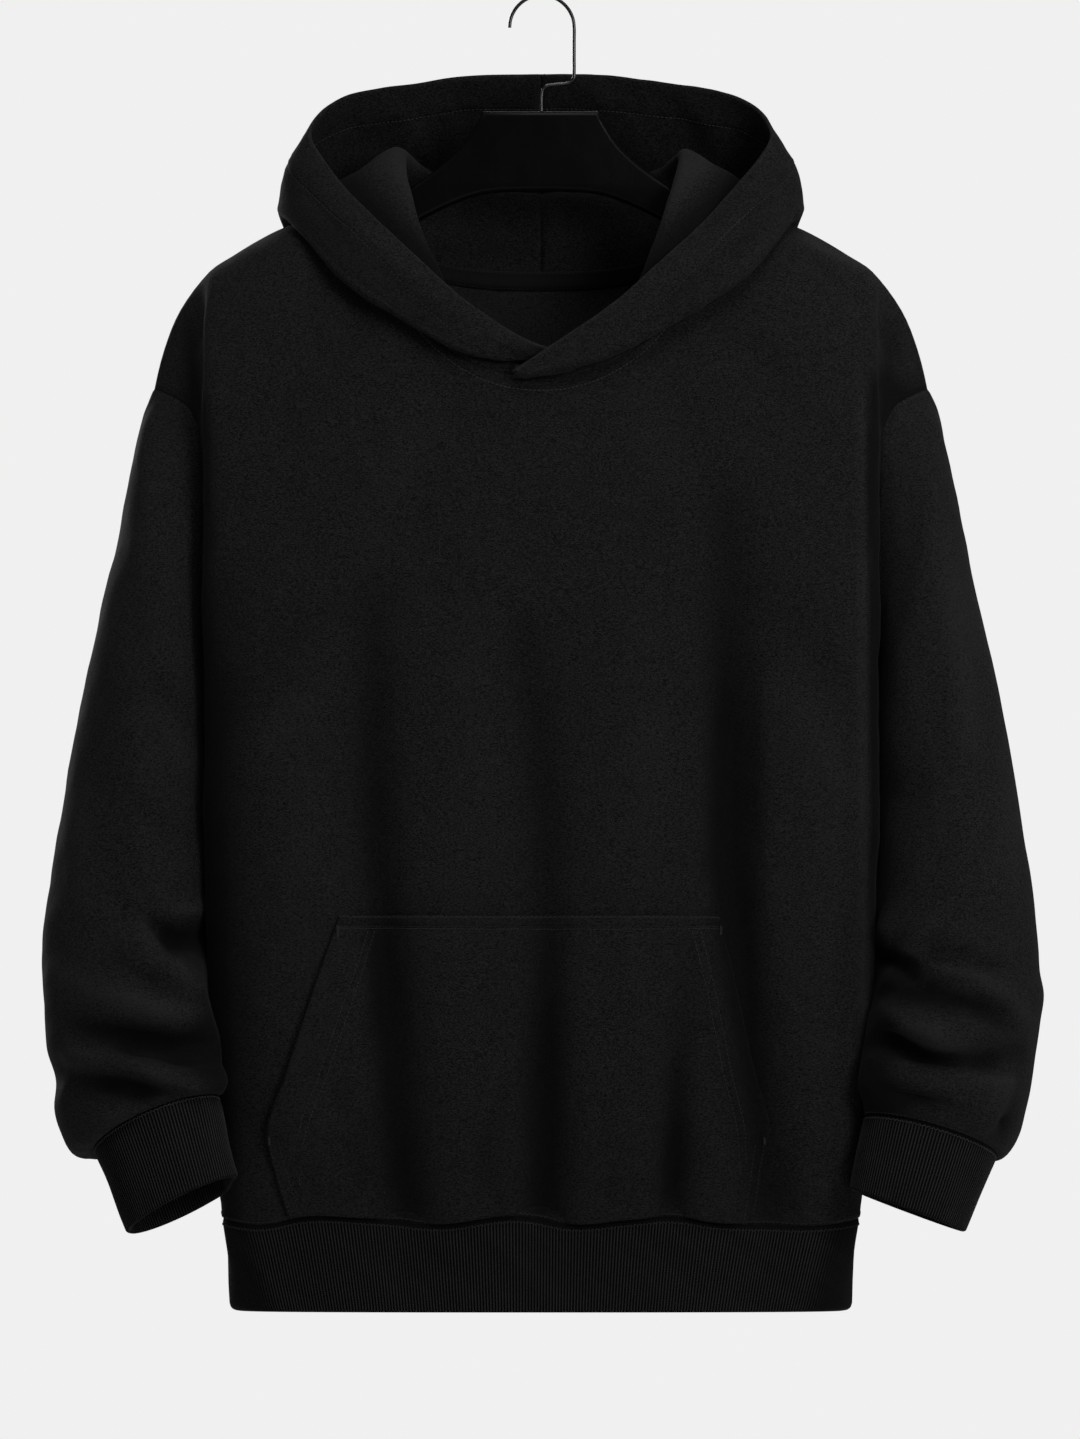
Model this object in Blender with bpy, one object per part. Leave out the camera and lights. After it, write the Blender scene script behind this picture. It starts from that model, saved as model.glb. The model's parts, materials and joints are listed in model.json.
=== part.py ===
"""Pullover hoodie on a suit hanger.

Each piece that is cut and sewn is one closed wall of cloth, lofted through rows of points that the tables
of sizes below give. The origin is the inside top of the hanger's hook. +X is the wearer's left, -Y the
front and +Z up. Sizes are in millimetres, and meshes are made in metres. A "drop" is a height measured
down from the high shoulder point, where the shoulder seam meets the neck seam.
"""

import math

import bmesh
import bpy
import numpy as np

MM = 0.001
SHOULDER_POINT_Z = -129.0  # below the inside top of the hook

# Cloth
WALL = 2.0  # brushed fleece
SEAM_GAP = 0.3
CUT_BACK = SEAM_GAP / 2  # what each piece gives up at a seam
LEAST_MITRE = 0.3  # of a seam's wall direction, measured across the cloth
COLLECTION = "pullover_hoodie"


def table(columns, *rows):
    """Rows of sizes as one array for each named column. The first column is the one that is looked up."""
    return dict(zip(columns.split(), np.array(rows, float).T))


def read(sizes, column, at):
    """A column's value at any place along the first column, on a smooth curve through the rows."""
    keys = next(iter(sizes.values()))
    values = sizes[column]
    slopes = np.gradient(values, keys)
    at = np.clip(at, keys[0], keys[-1])
    row = np.clip(np.searchsorted(keys, at) - 1, 0, len(keys) - 2)
    step = keys[row + 1] - keys[row]
    t = (at - keys[row]) / step
    start = values[row] * (1 + 2 * t) * (1 - t) ** 2 + slopes[row] * step * t * (1 - t) ** 2
    return start + values[row + 1] * t * t * (3 - 2 * t) - slopes[row + 1] * step * t * t * (1 - t)


# Body: the shoulder line, which follows the hanger's arm and then drops past its tip
SHOULDER = table(
    "x drop",
    (0, -18), (50, -14), (105, 0), (140, 11.5), (169, 21.5), (190, 33), (204, 42), (213, 48),
    (220, 54.5), (229, 67), (236, 80), (241, 93), (245, 106), (249, 124),
)  # fmt: skip
NECK_HALF_WIDTH = 105.0
UNDERARM_DROP = 330.0
# Each face bulges away from the hanger's plane, fast below the shoulder and then ever more slowly.
BULGE_DROP, BULGE_POWER = 95.0, 0.6
CORNER_POWER = 3.2
FRONT = {"side": -1, "depth": 86.0, "neck_drop": 121.0, "neck_power": 2.1}
BACK = {"side": 1, "depth": 76.0, "neck_drop": 48.0, "neck_power": 2.8}
# The fold edge is the body's visible side. Past it the cloth turns back to the armhole or the side seam.
FOLD_EDGE = table(
    "drop x share pull",
    (47, 213, 0.90, 1.00), (150, 213, 0.86, 1.00), (250, 213, 0.76, 1.00), (335, 213, 0.68, 1.00),
    (450, 212, 0.64, 0.99), (540, 209, 0.62, 0.93), (600, 206, 0.60, 0.83), (656, 202, 0.58, 0.64),
)  # fmt: skip
ARMHOLE = table(
    "row x drop depth",
    (0, 249, 124, 0), (1, 238, 129, 11), (2, 226, 137, 19), (3, 218, 154, 25), (4, 216, 188, 28),
    (5, 213, 225, 28), (6, 207, 265, 24), (7, 198, 305, 15), (8, 191, 330, 0),
)  # fmt: skip
SIDE_SEAM = table(
    "drop x y",
    (330, 191, 0), (385, 186, 1), (450, 185, 2), (540, 190, 2), (600, 196, 0), (656, 200, -4),
)  # fmt: skip
HEM_SEAM = table(
    "x drop",
    (-202, 656), (-175, 658), (-153, 653), (-106, 654), (-68, 657.5), (-13, 652), (18, 657.5),
    (59, 654), (86, 652.5), (108, 656), (133, 657.5), (174, 658.5), (202, 656),
)  # fmt: skip
# Soft troughs where the cloth hangs in from the body's roundness, down each face
TROUGHS = "x_top x_low start end width depth"
FRONT["troughs"] = table(
    TROUGHS,
    (-104, -88, 300, 700, 21, 5.5), (2, 4, 270, 700, 19, 4.5), (130, 124, 240, 480, 18, 7.0),
    (84, 83, 590, 700, 14, 4.5), (150, 148, 590, 700, 14, 5.0), (-40, -150, 110, 300, 24, 3.0),
    (52, 150, 120, 290, 24, 3.0),
)  # fmt: skip
BACK["troughs"] = table(
    TROUGHS,
    (-120, -96, 250, 700, 22, 6.0), (-20, -8, 330, 700, 20, 5.0), (92, 84, 270, 700, 20, 6.0),
    (150, 146, 560, 700, 15, 4.5), (-60, -150, 190, 360, 26, 4.0), (56, 160, 200, 380, 26, 4.0),
)  # fmt: skip

# The panels' grid: columns of a half from the centre line out, and rows from the top edge down
NECK_COLUMNS, FOLD_COLUMN, SEAM_COLUMN = 8, 15, 18
UNDERARM_ROW, ROW_CROWDING, COLUMN_CROWDING = 8, 1.5, 0.8
NECK_SPREAD = 0.61  # the neck columns' share of the half width at the underarm
HEM_DROP = 656.0
LOWER_DROPS = (385, 440, 500, 555, 610)

# Pocket
POCKET_TOP, POCKET_CORNER = 460.0, 602.0
POCKET = table(
    "drop left right",
    (460, -126, 113), (500, -140, 122), (560, -160, 135),
    (602, -173, 145), (625, -168, 142), (656, -159, 136),
)  # fmt: skip
POCKET_COLUMNS, POCKET_ROWS = 14, 6
POCKET_SEAM_OFF, POCKET_BULGE, POCKET_FOOT_UP = 1.2, 2.4, 0.8

# Sleeves: each ring runs through a point of the arm's outer line and one of its inner line.
SLEEVE_COLUMNS = "ring out_x out_drop in_x in_drop middle_y front back pitch"
SLEEVE_ROWS = (
    (2, 255, 142, 207, 346, 0, 44, 44, 0), (3, 262, 170, 208, 356, 0, 52, 50, 0),
    (4, 269, 206, 208, 368, -1, 56, 53, 0), (6, 283, 272, 207, 394, -4, 58, 55, 2),
    (8, 297, 341, 206, 430, -10, 58, 54, 5), (10, 309, 412, 206, 470, -18, 56, 53, 8),
    (13, 316, 470, 206, 502, -28, 55, 52, 11), (16, 316.5, 510, 208, 530, -37, 54, 51, 14),
    (19, 312, 556, 208, 556, -46, 52, 49, 17), (21, 306, 588, 207, 570, -51, 49, 47, 19),
    (22, 302, 601, 207, 575, -53, 48, 46, 20), (23, 294, 612, 206, 577, -54, 46, 44, 20),
)  # fmt: skip
CUFF_RING, SLEEVE_RINGS = 24, 21
RIGHT_CUFF_SEAM = (CUFF_RING, 282, 609, 205, 577, -55, 41, 40, 20)
LEFT_CUFF_SEAM = (CUFF_RING, 288, 613, 208, 589, -52, 41, 40, 15)
SLEEVE_RIGHT = table(SLEEVE_COLUMNS, *SLEEVE_ROWS, RIGHT_CUFF_SEAM)
SLEEVE_LEFT = table(SLEEVE_COLUMNS, *SLEEVE_ROWS, LEFT_CUFF_SEAM)
# Slack folds: a line of lows (depth below 0) or highs round part of the sleeve. Angles go from the outer
# line (0) over the front (90) to the inner line (180).
SLACK = "angle_from angle_to drop_from drop_to width depth"
SLACK_RIGHT = table(
    SLACK,
    (70, 200, 462, 484, 10, -6.0), (60, 200, 486, 516, 11, 5.0), (70, 210, 530, 540, 8, -6.5),
    (40, 200, 545, 566, 8, 4.0), (-30, 120, 560, 566, 9, -5.0), (180, 330, 500, 520, 12, -5.0),
    (190, 340, 548, 560, 9, -5.5), (80, 190, 390, 402, 16, -3.5),
)  # fmt: skip
SLACK_LEFT = table(
    SLACK,
    (60, 200, 486, 452, 10, 5.5), (50, 200, 502, 470, 9, -7.5), (-20, 110, 522, 489, 9, 5.0),
    (40, 200, 541, 512, 10, 5.0), (20, 200, 558, 532, 9, -6.5), (180, 330, 505, 520, 12, -5.0),
    (190, 340, 556, 562, 9, -5.5), (70, 190, 372, 392, 16, -3.5),
)  # fmt: skip

SIDE_FROM = 12  # the first column of the body's half that a sleeve is kept off
SIDE_CLEARANCE, ARMHOLE_CLEARANCE, SIDE_EASE = 3.8, 10.0, 2.0
SIDE_REACH = 9.0  # a sleeve point is also kept off the side this far before and behind it

# Rib: each wale is a ridge on the outside, over a plain inside
RIB_PITCH, RIB_HEIGHT = 2.1, 0.6
BAND_WALL = 2.8
BAND_INNER_POINTS, CUFF_INNER_POINTS = 144, 32
HEM_EDGE_DROP = 713.0
HEM_EDGE = {"half_width": 199.0, "front": 51.0, "back": 44.0, "power": 2.9}
RIGHT_CUFF = {"length": 58.0, "narrow": 0.87, "lean": (20.0, 20.0)}
LEFT_CUFF = {"length": 55.0, "narrow": 0.85, "lean": (19.0, 14.0)}

# Hood, from the centre back (0) over the shoulder (4) to the centre front (8): the stand's rolled edge,
# the lowest fold and the edge of the face opening, each as x, y, drop, for the left half
HOOD_COLUMNS = "place roll_x roll_y roll low_x low_y low edge_x edge_y edge roll_r low_r puff"
HOOD_ROWS = (
    (0, 0, 50, -7, 0, 92, 176, 0, 28, -83, 6, 12, 17), (1, 26, 49, -8, 40, 91, 172, 42, 27, -82.5, 6, 12, 17),
    (2, 52, 44, -13, 78, 86, 155, 80, 24, -77, 6, 11, 16), (3, 78, 32, -23, 132, 58, 82, 127, 15, -67, 6, 9, 11),
    (4, 90, 5, -29, 167, 6, 11, 148, -4, -40, 5, 7, 5), (5, 83, -25, 4, 131, -53, 54, 118, -30, 4, 4, 4.5, 3),
    (6, 63, -44, 57, 94, -64, 80, 81, -50, 42, 3, 3, 2), (7, 41, -58, 99, 50, -70, 104, 43, -64, 76, 2, 2.6, 1),
)  # fmt: skip
LEFT_FRONT = (
    (8, 1, -60, 114.5, 3, -70, 117, 2, -68, 103, 2, 2.6, 0),
    (8.5, -15.3, -60.5, 115, -15, -70.5, 118, -14.5, -70, 107, 2, 2.4, 0),
)  # fmt: skip
RIGHT_FRONT = (
    (8, 1, -51, 113.5, 3, -57, 110.5, 1, -59.5, 100, 1.8, 2, 0),
    (8.5, -15, -51, 113.5, -15, -56, 111.5, -15, -58.5, 103, 1.8, 2, 0),
)  # fmt: skip
HOOD_LEFT = table(HOOD_COLUMNS, *HOOD_ROWS, *LEFT_FRONT)
HOOD_RIGHT = table(HOOD_COLUMNS, *HOOD_ROWS, *RIGHT_FRONT)
HOOD_PLACES = 8
HAIRPIN_OUT = 0.25  # how far a sharp fold turns over towards its outer side, as a share of a right angle
TURN_POINTS, STAND_POINTS, FALL_POINTS, BAND_POINTS = 5, 1, 2, 3
CROSSING = 0.68  # how far past the centre front each half goes, as a share of a column
# The hood is kept off the body under and over its lowest fold, from this far above the body's top edge down
FALL_CLEARANCE, BAND_CLEARANCE = 5.0, 10.0
NECK_REACH, SHOULDER_REACH, LAID_EASE = 14.0, 5.0, 2.0
CROSSED_UNDER = 2.8  # how far the right front's foot lies behind the left one's

TAPE_WALL, TAPE_HALF_COLUMNS = 1.0, 5

# Hanger
ARM_TOP = table("x gap", (0, 3.5), (105, 3.5), (170, 4.5), (200, 7.5))
ARM_HEIGHT, ARM_THICKNESS, ARM_EDGE = 26.0, 10.0, 3.4
ARM_TIP = (214.0, 68.0)
PLATE = ((0, -55), (37, -55), (41, -48), (50, -34), (62, -22), (81, -8))  # x, drop of the top plate's edge
ARCH = ((79, 16), (57, 5), (38, -1.5), (14, -3.5), (0, -3.5))
WIRE = 2.2
HOOK_RADIUS = 20.8  # to the wire's centre
HOOK_CENTRE_X = 0.6
HOOK_STEPS = 12


def place(x, y, drop):
    return np.array((x, y, SHOULDER_POINT_Z - drop), float)


def unit(vectors):
    return vectors / np.maximum(np.linalg.norm(vectors, axis=-1, keepdims=True), 1e-9)


def mix(a, b, share):
    return a + (b - a) * share


# ---------------------------------------------------------------- meshes


def material(name, colour, roughness, metallic=0.0):
    made = bpy.data.materials.new(name)
    made.use_nodes = True
    shader = made.node_tree.nodes["Principled BSDF"]
    shader.inputs["Base Color"].default_value = (*colour, 1)
    shader.inputs["Roughness"].default_value = roughness
    shader.inputs["Metallic"].default_value = metallic
    return made


def add(name, mesh_or_curve, finish):
    made = bpy.data.objects.new(name, mesh_or_curve)
    bpy.data.collections[COLLECTION].objects.link(made)
    made.data.materials.append(finish)
    return made


def stitched(first, second, closed):
    """Triangles between two lines of vertices that may differ in number, by how far along each one is."""
    ends = len(first) if closed else len(first) - 1, len(second) if closed else len(second) - 1
    i = j = 0
    faces = []
    while i < ends[0] or j < ends[1]:
        a, b = first[i % len(first)], second[j % len(second)]
        if j == ends[1] or (i < ends[0] and (i + 0.5) / ends[0] <= (j + 0.5) / ends[1]):
            i += 1
            faces.append((a, b, first[i % len(first)]))
        else:
            j += 1
            faces.append((a, b, second[j % len(second)]))
    return faces


def rim(first, second, closed):
    """Triangles between two lines with as many vertices each. Neighbours along a seam split theirs alike."""
    count = len(first)
    faces = []
    for i in range(count if closed else count - 1):
        k = (i + 1) % count
        here, there = (first[n].co.z + second[n].co.z + abs(first[n].co.x + second[n].co.x) for n in (i, k))
        if here > there:
            faces += [(first[i], second[k], first[k]), (first[i], second[i], second[k])]
        else:
            faces += [(first[i], second[i], first[k]), (first[k], second[i], second[k])]
    return faces


def quads(grid, closed):
    columns = len(grid[0])
    return [
        (upper[j], upper[(j + 1) % columns], lower[(j + 1) % columns], lower[j])
        for upper, lower in zip(grid, grid[1:])
        for j in range(columns if closed else columns - 1)
    ]


def wall_object(name, outer, inner, finish, closed=False):
    """A closed wall between two grids of points with as many rows. Closed ones may differ in columns."""
    mesh = bmesh.new()
    sheets = [[[mesh.verts.new(point * MM) for point in row] for row in grid] for grid in (outer, inner)]
    outside, inside = sheets
    faces = quads(outside, closed) + quads(inside, closed)
    join = rim if len(outside[0]) == len(inside[0]) else stitched
    for row in (0, -1):
        faces += join(outside[row], inside[row], closed)
    if not closed:
        for column in (0, -1):
            faces += rim([row[column] for row in outside], [row[column] for row in inside], False)
    for face in faces:
        mesh.faces.new(face)
    bmesh.ops.recalc_face_normals(mesh, faces=mesh.faces)
    data = bpy.data.meshes.new(name)
    mesh.to_mesh(data)
    mesh.free()
    data.shade_smooth()
    data.set_sharp_from_angle(angle=math.radians(50))
    return add(name, data, finish)


def normals_of(grid, closed=False):
    """Unit normals of a grid of points, pointing either way."""
    down = np.gradient(grid, axis=0)
    if closed:
        across = np.roll(grid, -1, axis=1) - np.roll(grid, 1, axis=1)
    else:
        across = np.gradient(grid, axis=1)
    return unit(np.cross(down, across))


def cut_back(grid, edges):
    """Moves the named edges of a grid towards its next row or column, for the gap at a seam."""
    made = grid.copy()
    for edge in edges:
        line, beside = {
            "top": (np.s_[0, :], np.s_[1, :]),
            "foot": (np.s_[-1, :], np.s_[-2, :]),
            "first": (np.s_[:, 0], np.s_[:, 1]),
            "last": (np.s_[:, -1], np.s_[:, -2]),
        }[edge]
        made[line] += unit(made[beside] - made[line]) * CUT_BACK
    return made


# ---------------------------------------------------------------- body


def bulge(face, x, drop):
    """How far a face's mid-surface stands off the hanger's plane between its two fold edges."""
    below = max(drop - read(SHOULDER, "drop", abs(x)), 0)
    full = face["depth"] * (1 - math.exp(-((below / BULGE_DROP) ** BULGE_POWER)))
    share = read(FOLD_EDGE, "share", drop)
    across = min(abs(x) / read(FOLD_EDGE, "x", drop), 1)
    rounded = share + (1 - share) * (1 - across**CORNER_POWER) ** (1 / CORNER_POWER)
    return full * rounded * read(FOLD_EDGE, "pull", drop)


def trough(face, x, drop):
    """Depth of the soft hanging folds at this place of a face."""
    folds = face["troughs"]
    along = np.clip((drop - folds["start"]) / (folds["end"] - folds["start"]), 0, 1)
    centre = mix(folds["x_top"], folds["x_low"], along)
    fade = np.sin(np.pi * np.clip(along * np.where(folds["end"] > 690, 0.6, 1), 0, 1)) ** 0.7
    return float(np.sum(folds["depth"] * fade * np.exp(-(((x - centre) / folds["width"]) ** 2))))


def face_point(face, x, drop):
    """A point of a face's mid-surface between its fold edges."""
    return place(x, face["side"] * (bulge(face, x, drop) - trough(face, x, drop)), drop)


def top_edge(face, column):
    """x and drop of the panel's top edge: the neckline, then the shoulder seam."""
    if column <= NECK_COLUMNS:
        turn = math.pi / 2 * column / NECK_COLUMNS
        power = 2 / face["neck_power"]
        across = math.sin(turn) ** power
        return NECK_HALF_WIDTH * across, face["neck_drop"] * max(math.cos(turn), 0) ** power
    share = (column - NECK_COLUMNS) / (FOLD_COLUMN - NECK_COLUMNS)
    x = mix(NECK_HALF_WIDTH, SHOULDER["x"][7], share)
    return x, float(read(SHOULDER, "drop", x))


def armhole_point(face, row):
    x, drop, depth = (float(read(ARMHOLE, name, row)) for name in ("x", "drop", "depth"))
    return place(x, face["side"] * depth, drop)


def cap_line(share):
    """The shoulder line from the fold edge's top to the armhole's top."""
    start, end = SHOULDER["drop"][7], SHOULDER["drop"][-1]
    drop = mix(start, end, share)
    return place(float(np.interp(drop, SHOULDER["drop"], SHOULDER["x"])), 0, drop)


def side_point(face, row, drop, fold, share):
    """A point past the fold edge: it turns back along the body's side to the armhole or the side seam."""
    if row == 0:
        return cap_line(share)
    if row <= UNDERARM_ROW:
        seam = armhole_point(face, row)
    else:
        seam = place(float(read(SIDE_SEAM, "x", drop)), float(read(SIDE_SEAM, "y", drop)), drop)
    turn = fold.copy()
    turn[0] = mix(fold[0], seam[0], 0.3 if row > UNDERARM_ROW else 0.3 * row / UNDERARM_ROW)
    turn[1] = mix(fold[1], seam[1], 0.6)
    turn[2] = mix(fold[2], seam[2], 0.5)
    return fold * (1 - share) ** 2 + turn * 2 * share * (1 - share) + seam * share**2


def column_x(column, drop):
    """x of a grid column below the underarm: the columns from the neck fan out over most of the width."""
    spread = [0, NECK_COLUMNS, FOLD_COLUMN], [0, NECK_SPREAD, 1]
    return float(read(FOLD_EDGE, "x", drop) * np.interp(column, *spread))


def half_row(face, side, row):
    """One row of a face's half, from the centre line to the armhole or side seam, for a positive x."""
    points = []
    for column in range(SEAM_COLUMN + 1):
        inner = min(column, FOLD_COLUMN)
        if row <= UNDERARM_ROW:
            fall = (row / UNDERARM_ROW) ** ROW_CROWDING
            top_x, top_drop = top_edge(face, inner)
            x = mix(top_x, column_x(inner, UNDERARM_DROP), (row / UNDERARM_ROW) ** COLUMN_CROWDING)
            drop = mix(top_drop, UNDERARM_DROP, fall)
        elif row - UNDERARM_ROW <= len(LOWER_DROPS):
            drop = LOWER_DROPS[row - UNDERARM_ROW - 1]
            x = column_x(inner, drop)
        else:
            x = column_x(inner, HEM_DROP)
            drop = read(HEM_SEAM, "drop", side * x)
        point = face_point(face, side * x, float(drop))
        point[0] *= side
        if column > FOLD_COLUMN:
            share = (column - FOLD_COLUMN) / (SEAM_COLUMN - FOLD_COLUMN)
            point = side_point(face, row, float(drop), point, share)
        points.append(point)
    return points


def face_grid(face):
    """A panel's mid-surface, rows from the top edge down, columns from the right side seam to the left."""
    mirror = np.array((-1, 1, 1))
    rows = []
    for row in range(UNDERARM_ROW + len(LOWER_DROPS) + 2):
        right = [point * mirror for point in half_row(face, -1, row)]
        rows.append(right[:0:-1] + half_row(face, 1, row))
    return np.array(rows)


def seam_normals(face, grid):
    """The panel's wall directions, with those at its seams set to what the piece sewn there has too."""
    normals = normals_of(grid)
    if face["side"] > 0:
        normals = -normals
    centre = SEAM_COLUMN
    for side in (-1, 1):
        for column in range(1, SEAM_COLUMN + 1):
            j = centre + side * column
            if column < NECK_COLUMNS:
                normals[0, j] = unit(normals[0, j] + neck_outward(grid[0, j]) * column / NECK_COLUMNS)
            elif column == NECK_COLUMNS:
                normals[0, j] = unit(np.array((side, 0, 0.72)))
            else:
                along = grid[0, min(j + 1, 2 * centre)] - grid[0, max(j - 1, 0)]
                normals[0, j] = unit(np.array((-along[2], 0, along[0])))
        normals[UNDERARM_ROW + 1 :, centre + side * SEAM_COLUMN] = (side, 0, 0)
    normals[-1] = unit(normals[-1] * (1, 1, 0))
    return normals


def neck_outward(point):
    """Level direction away from the neck's middle."""
    return unit(np.array((point[0] * 0.5, point[1], 0)))


# ---------------------------------------------------------------- sleeves


def slack(folds, angle, drop):
    """How far a sleeve's slack folds move a point out."""
    span = folds["angle_to"] - folds["angle_from"]
    turned = (angle - folds["angle_from"]) % 360
    share = turned / span
    line = mix(folds["drop_from"], folds["drop_to"], np.clip(share, 0, 1))
    fade = np.where(share <= 1, np.sin(np.pi * np.clip(share, 0, 1)) ** 0.6, 0)
    return float(np.sum(folds["depth"] * fade * np.exp(-(((drop - line) / folds["width"]) ** 2))))


def ring_frame(sizes, ring, side):
    """Centre, outward half axis, and front and back half axes of one ring of a sleeve."""
    at = {name: float(read(sizes, name, ring)) for name in sizes}
    outer = place(side * at["out_x"], at["middle_y"], at["out_drop"])
    inner = place(side * at["in_x"], at["middle_y"], at["in_drop"])
    pitch = math.radians(at["pitch"])
    front = np.array((0, -math.cos(pitch), math.sin(pitch)))
    return (outer + inner) / 2, (outer - inner) / 2, front * at["front"], -front * at["back"]


def ring_points(frame, count, folds=None):
    centre, out, front, back = frame
    points = []
    for j in range(count):
        angle = 2 * math.pi * j / count
        half = front if math.sin(angle) > 0 else back
        point = centre + out * math.cos(angle) + half * abs(math.sin(angle))
        if folds is not None:
            away = unit(point - centre)
            point = point + away * slack(folds, math.degrees(angle), SHOULDER_POINT_Z - point[2])
        points.append(point)
    return points


def side_triangles(panel, side):
    """The body's side from near the fold edge to the seam as triangles over y and z, each with its x."""
    corners = []
    for upper, lower in zip(panel[1:-1], panel[2:]):
        for column in range(SIDE_FROM, SEAM_COLUMN):
            a, b = (SEAM_COLUMN + side * c for c in (column, column + 1))
            corners += [(upper[a], upper[b], lower[b]), (upper[a], lower[b], lower[a])]
    return np.array(corners)


def side_reach(triangles, side, y, z):
    """How far out the body's side is at a place, or 0 beyond it."""
    a, b, c = (triangles[:, k, 1:] for k in range(3))
    u, v, w = b - a, c - a, np.array((y, z)) - a
    area = u[:, 0] * v[:, 1] - u[:, 1] * v[:, 0]
    area = np.where(np.abs(area) < 1e-9, 1e-9, area)
    s = (w[:, 0] * v[:, 1] - w[:, 1] * v[:, 0]) / area
    t = (u[:, 0] * w[:, 1] - u[:, 1] * w[:, 0]) / area
    inside = (s > -0.01) & (t > -0.01) & (s + t < 1.01)
    x = triangles[:, :, 0] * side
    surface = x[:, 0] * (1 - s - t) + x[:, 1] * s + x[:, 2] * t
    return float(surface[inside].max()) if inside.any() else 0.0


def kept_off(points, triangles, side, clearance):
    """Points moved out in x, where they lie beside the body, to stay clear of its side."""
    moved = points.copy()
    for point in moved:
        places = (point[1] - SIDE_REACH, point[1], point[1] + SIDE_REACH)
        body = max(side_reach(triangles, side, y, point[2]) for y in places)
        short = body + clearance - point[0] * side
        if short > -SIDE_EASE:
            push = short if short > SIDE_EASE else (short + SIDE_EASE) ** 2 / (4 * SIDE_EASE)
            point[0] += side * push
    return moved


def sleeve_grid(sizes, folds, side, front, back):
    """Rings from the armhole down to the cuff seam. The first is the armhole itself, as the body gives it."""
    j = SEAM_COLUMN * (1 + side)
    armhole = [front[row, j] for row in range(UNDERARM_ROW + 1)]
    armhole += [back[row, j] for row in range(UNDERARM_ROW - 1, 0, -1)]
    count = len(armhole)
    rings = [np.array(armhole)]
    second = np.array(ring_points(ring_frame(sizes, sizes["ring"][0], side), count))
    rings.append(mix(rings[0], second, 0.42))
    for ring in np.linspace(2, CUFF_RING, SLEEVE_RINGS):
        used = folds if 2 < ring < CUFF_RING else None
        rings.append(np.array(ring_points(ring_frame(sizes, ring, side), count, used)))
    triangles = np.vstack((side_triangles(front, side), side_triangles(back, side)))
    for k in range(1, len(rings)):
        clearance = mix(ARMHOLE_CLEARANCE, SIDE_CLEARANCE, min(k / 5, 1))
        rings[k] = kept_off(rings[k], triangles, side, clearance)
    return np.array(rings)


def outward_normals(grid, centre_lines):
    normals = normals_of(grid, closed=True)
    facing = np.sum(normals * (grid - centre_lines[:, None, :]), axis=(1, 2))
    return normals * np.sign(facing)[:, None, None]


def set_armhole_mitres(front, back, sleeve, side):
    """Gives body and sleeve one wall direction at the armhole, midway in the crease between them."""
    j = SEAM_COLUMN * (1 + side)
    places = [(front, row) for row in range(UNDERARM_ROW + 1)]
    places += [(back, row) for row in range(UNDERARM_ROW - 1, 0, -1)]
    ring = sleeve["grid"][0]
    for k, (panel, row) in enumerate(places):
        along = unit(ring[(k + 1) % len(ring)] - ring[k - 1])
        ways = []
        beside, face = panel["grid"][row, j - side], panel["normals"][row, j - side]
        if row == UNDERARM_ROW:
            beside, face = panel["grid"][row + 1, j], np.array((side, 0, 0))
        for away in (beside - ring[k], sleeve["grid"][1][k] - ring[k]):
            ways.append(unit(away - along * np.dot(away, along)))
        faces = face, sleeve["normals"][1][k]
        mitre = unit(faces[0] + faces[1] + ways[0] + ways[1])
        mitre = mitre / max(np.dot(mitre, faces[0]), LEAST_MITRE)
        sleeve["normals"][0][k] = mitre
        for shared in (front, back) if row in (0, UNDERARM_ROW) else (panel,):
            shared["normals"][row, j] = mitre


def shape_sleeve(side, sizes, folds, front, back):
    grid = sleeve_grid(sizes, folds, side, front["grid"], back["grid"])
    normals = outward_normals(grid, grid.mean(axis=1))
    normals[-1] = unit(grid[-1] - grid[-1].mean(axis=0))
    return {"grid": grid, "normals": normals}


def build_sleeve(name, sleeve, finish):
    grid, normals = sleeve["grid"], sleeve["normals"]
    walls = cut_back(grid, ("top", "foot"))
    wall_object(name, walls + normals * WALL / 2, walls - normals * WALL / 2, finish, closed=True)


# ---------------------------------------------------------------- ribbed bands


def along_line(points, count):
    """Points spaced evenly along a closed line of straight stretches."""
    closed = np.vstack((points, points[:1]))
    reach = np.concatenate(((0,), np.cumsum(np.linalg.norm(np.diff(closed, axis=0), axis=1))))
    at = np.linspace(0, reach[-1], count, endpoint=False)
    return np.array([[np.interp(a, reach, closed[:, axis]) for axis in range(3)] for a in at])


def length_round(points):
    return float(np.linalg.norm(np.roll(points, -1, axis=0) - points, axis=1).sum())


def build_band(name, upper, lower, inner_count, finish):
    """A ribbed band between two closed lines, its wales raised on the outside only."""
    ribs = round(length_round(upper) / RIB_PITCH)
    middle = upper.mean(axis=0), lower.mean(axis=0)
    down = unit(middle[1] - middle[0])
    outer, inner = [], []
    for line, centre, back in ((upper, middle[0], 2 * CUT_BACK), (lower, middle[1], 0)):
        fine, plain = along_line(line, 2 * ribs), along_line(line, inner_count)
        for points, sheet in ((fine, outer), (plain, inner)):
            tangent = unit(np.roll(points, -1, axis=0) - np.roll(points, 1, axis=0))
            away = unit(np.cross(tangent, down))
            away *= np.sign(np.sum(away * (points - centre)))
            if sheet is outer:
                ridge = np.where(np.arange(len(points)) % 2, RIB_HEIGHT, 0)[:, None]
                sheet.append(points + down * back + away * (BAND_WALL / 2 - RIB_HEIGHT / 2 + ridge))
            else:
                sheet.append(points + down * back - away * BAND_WALL / 2)
    wall_object(name, outer, inner, finish, closed=True)


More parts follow.
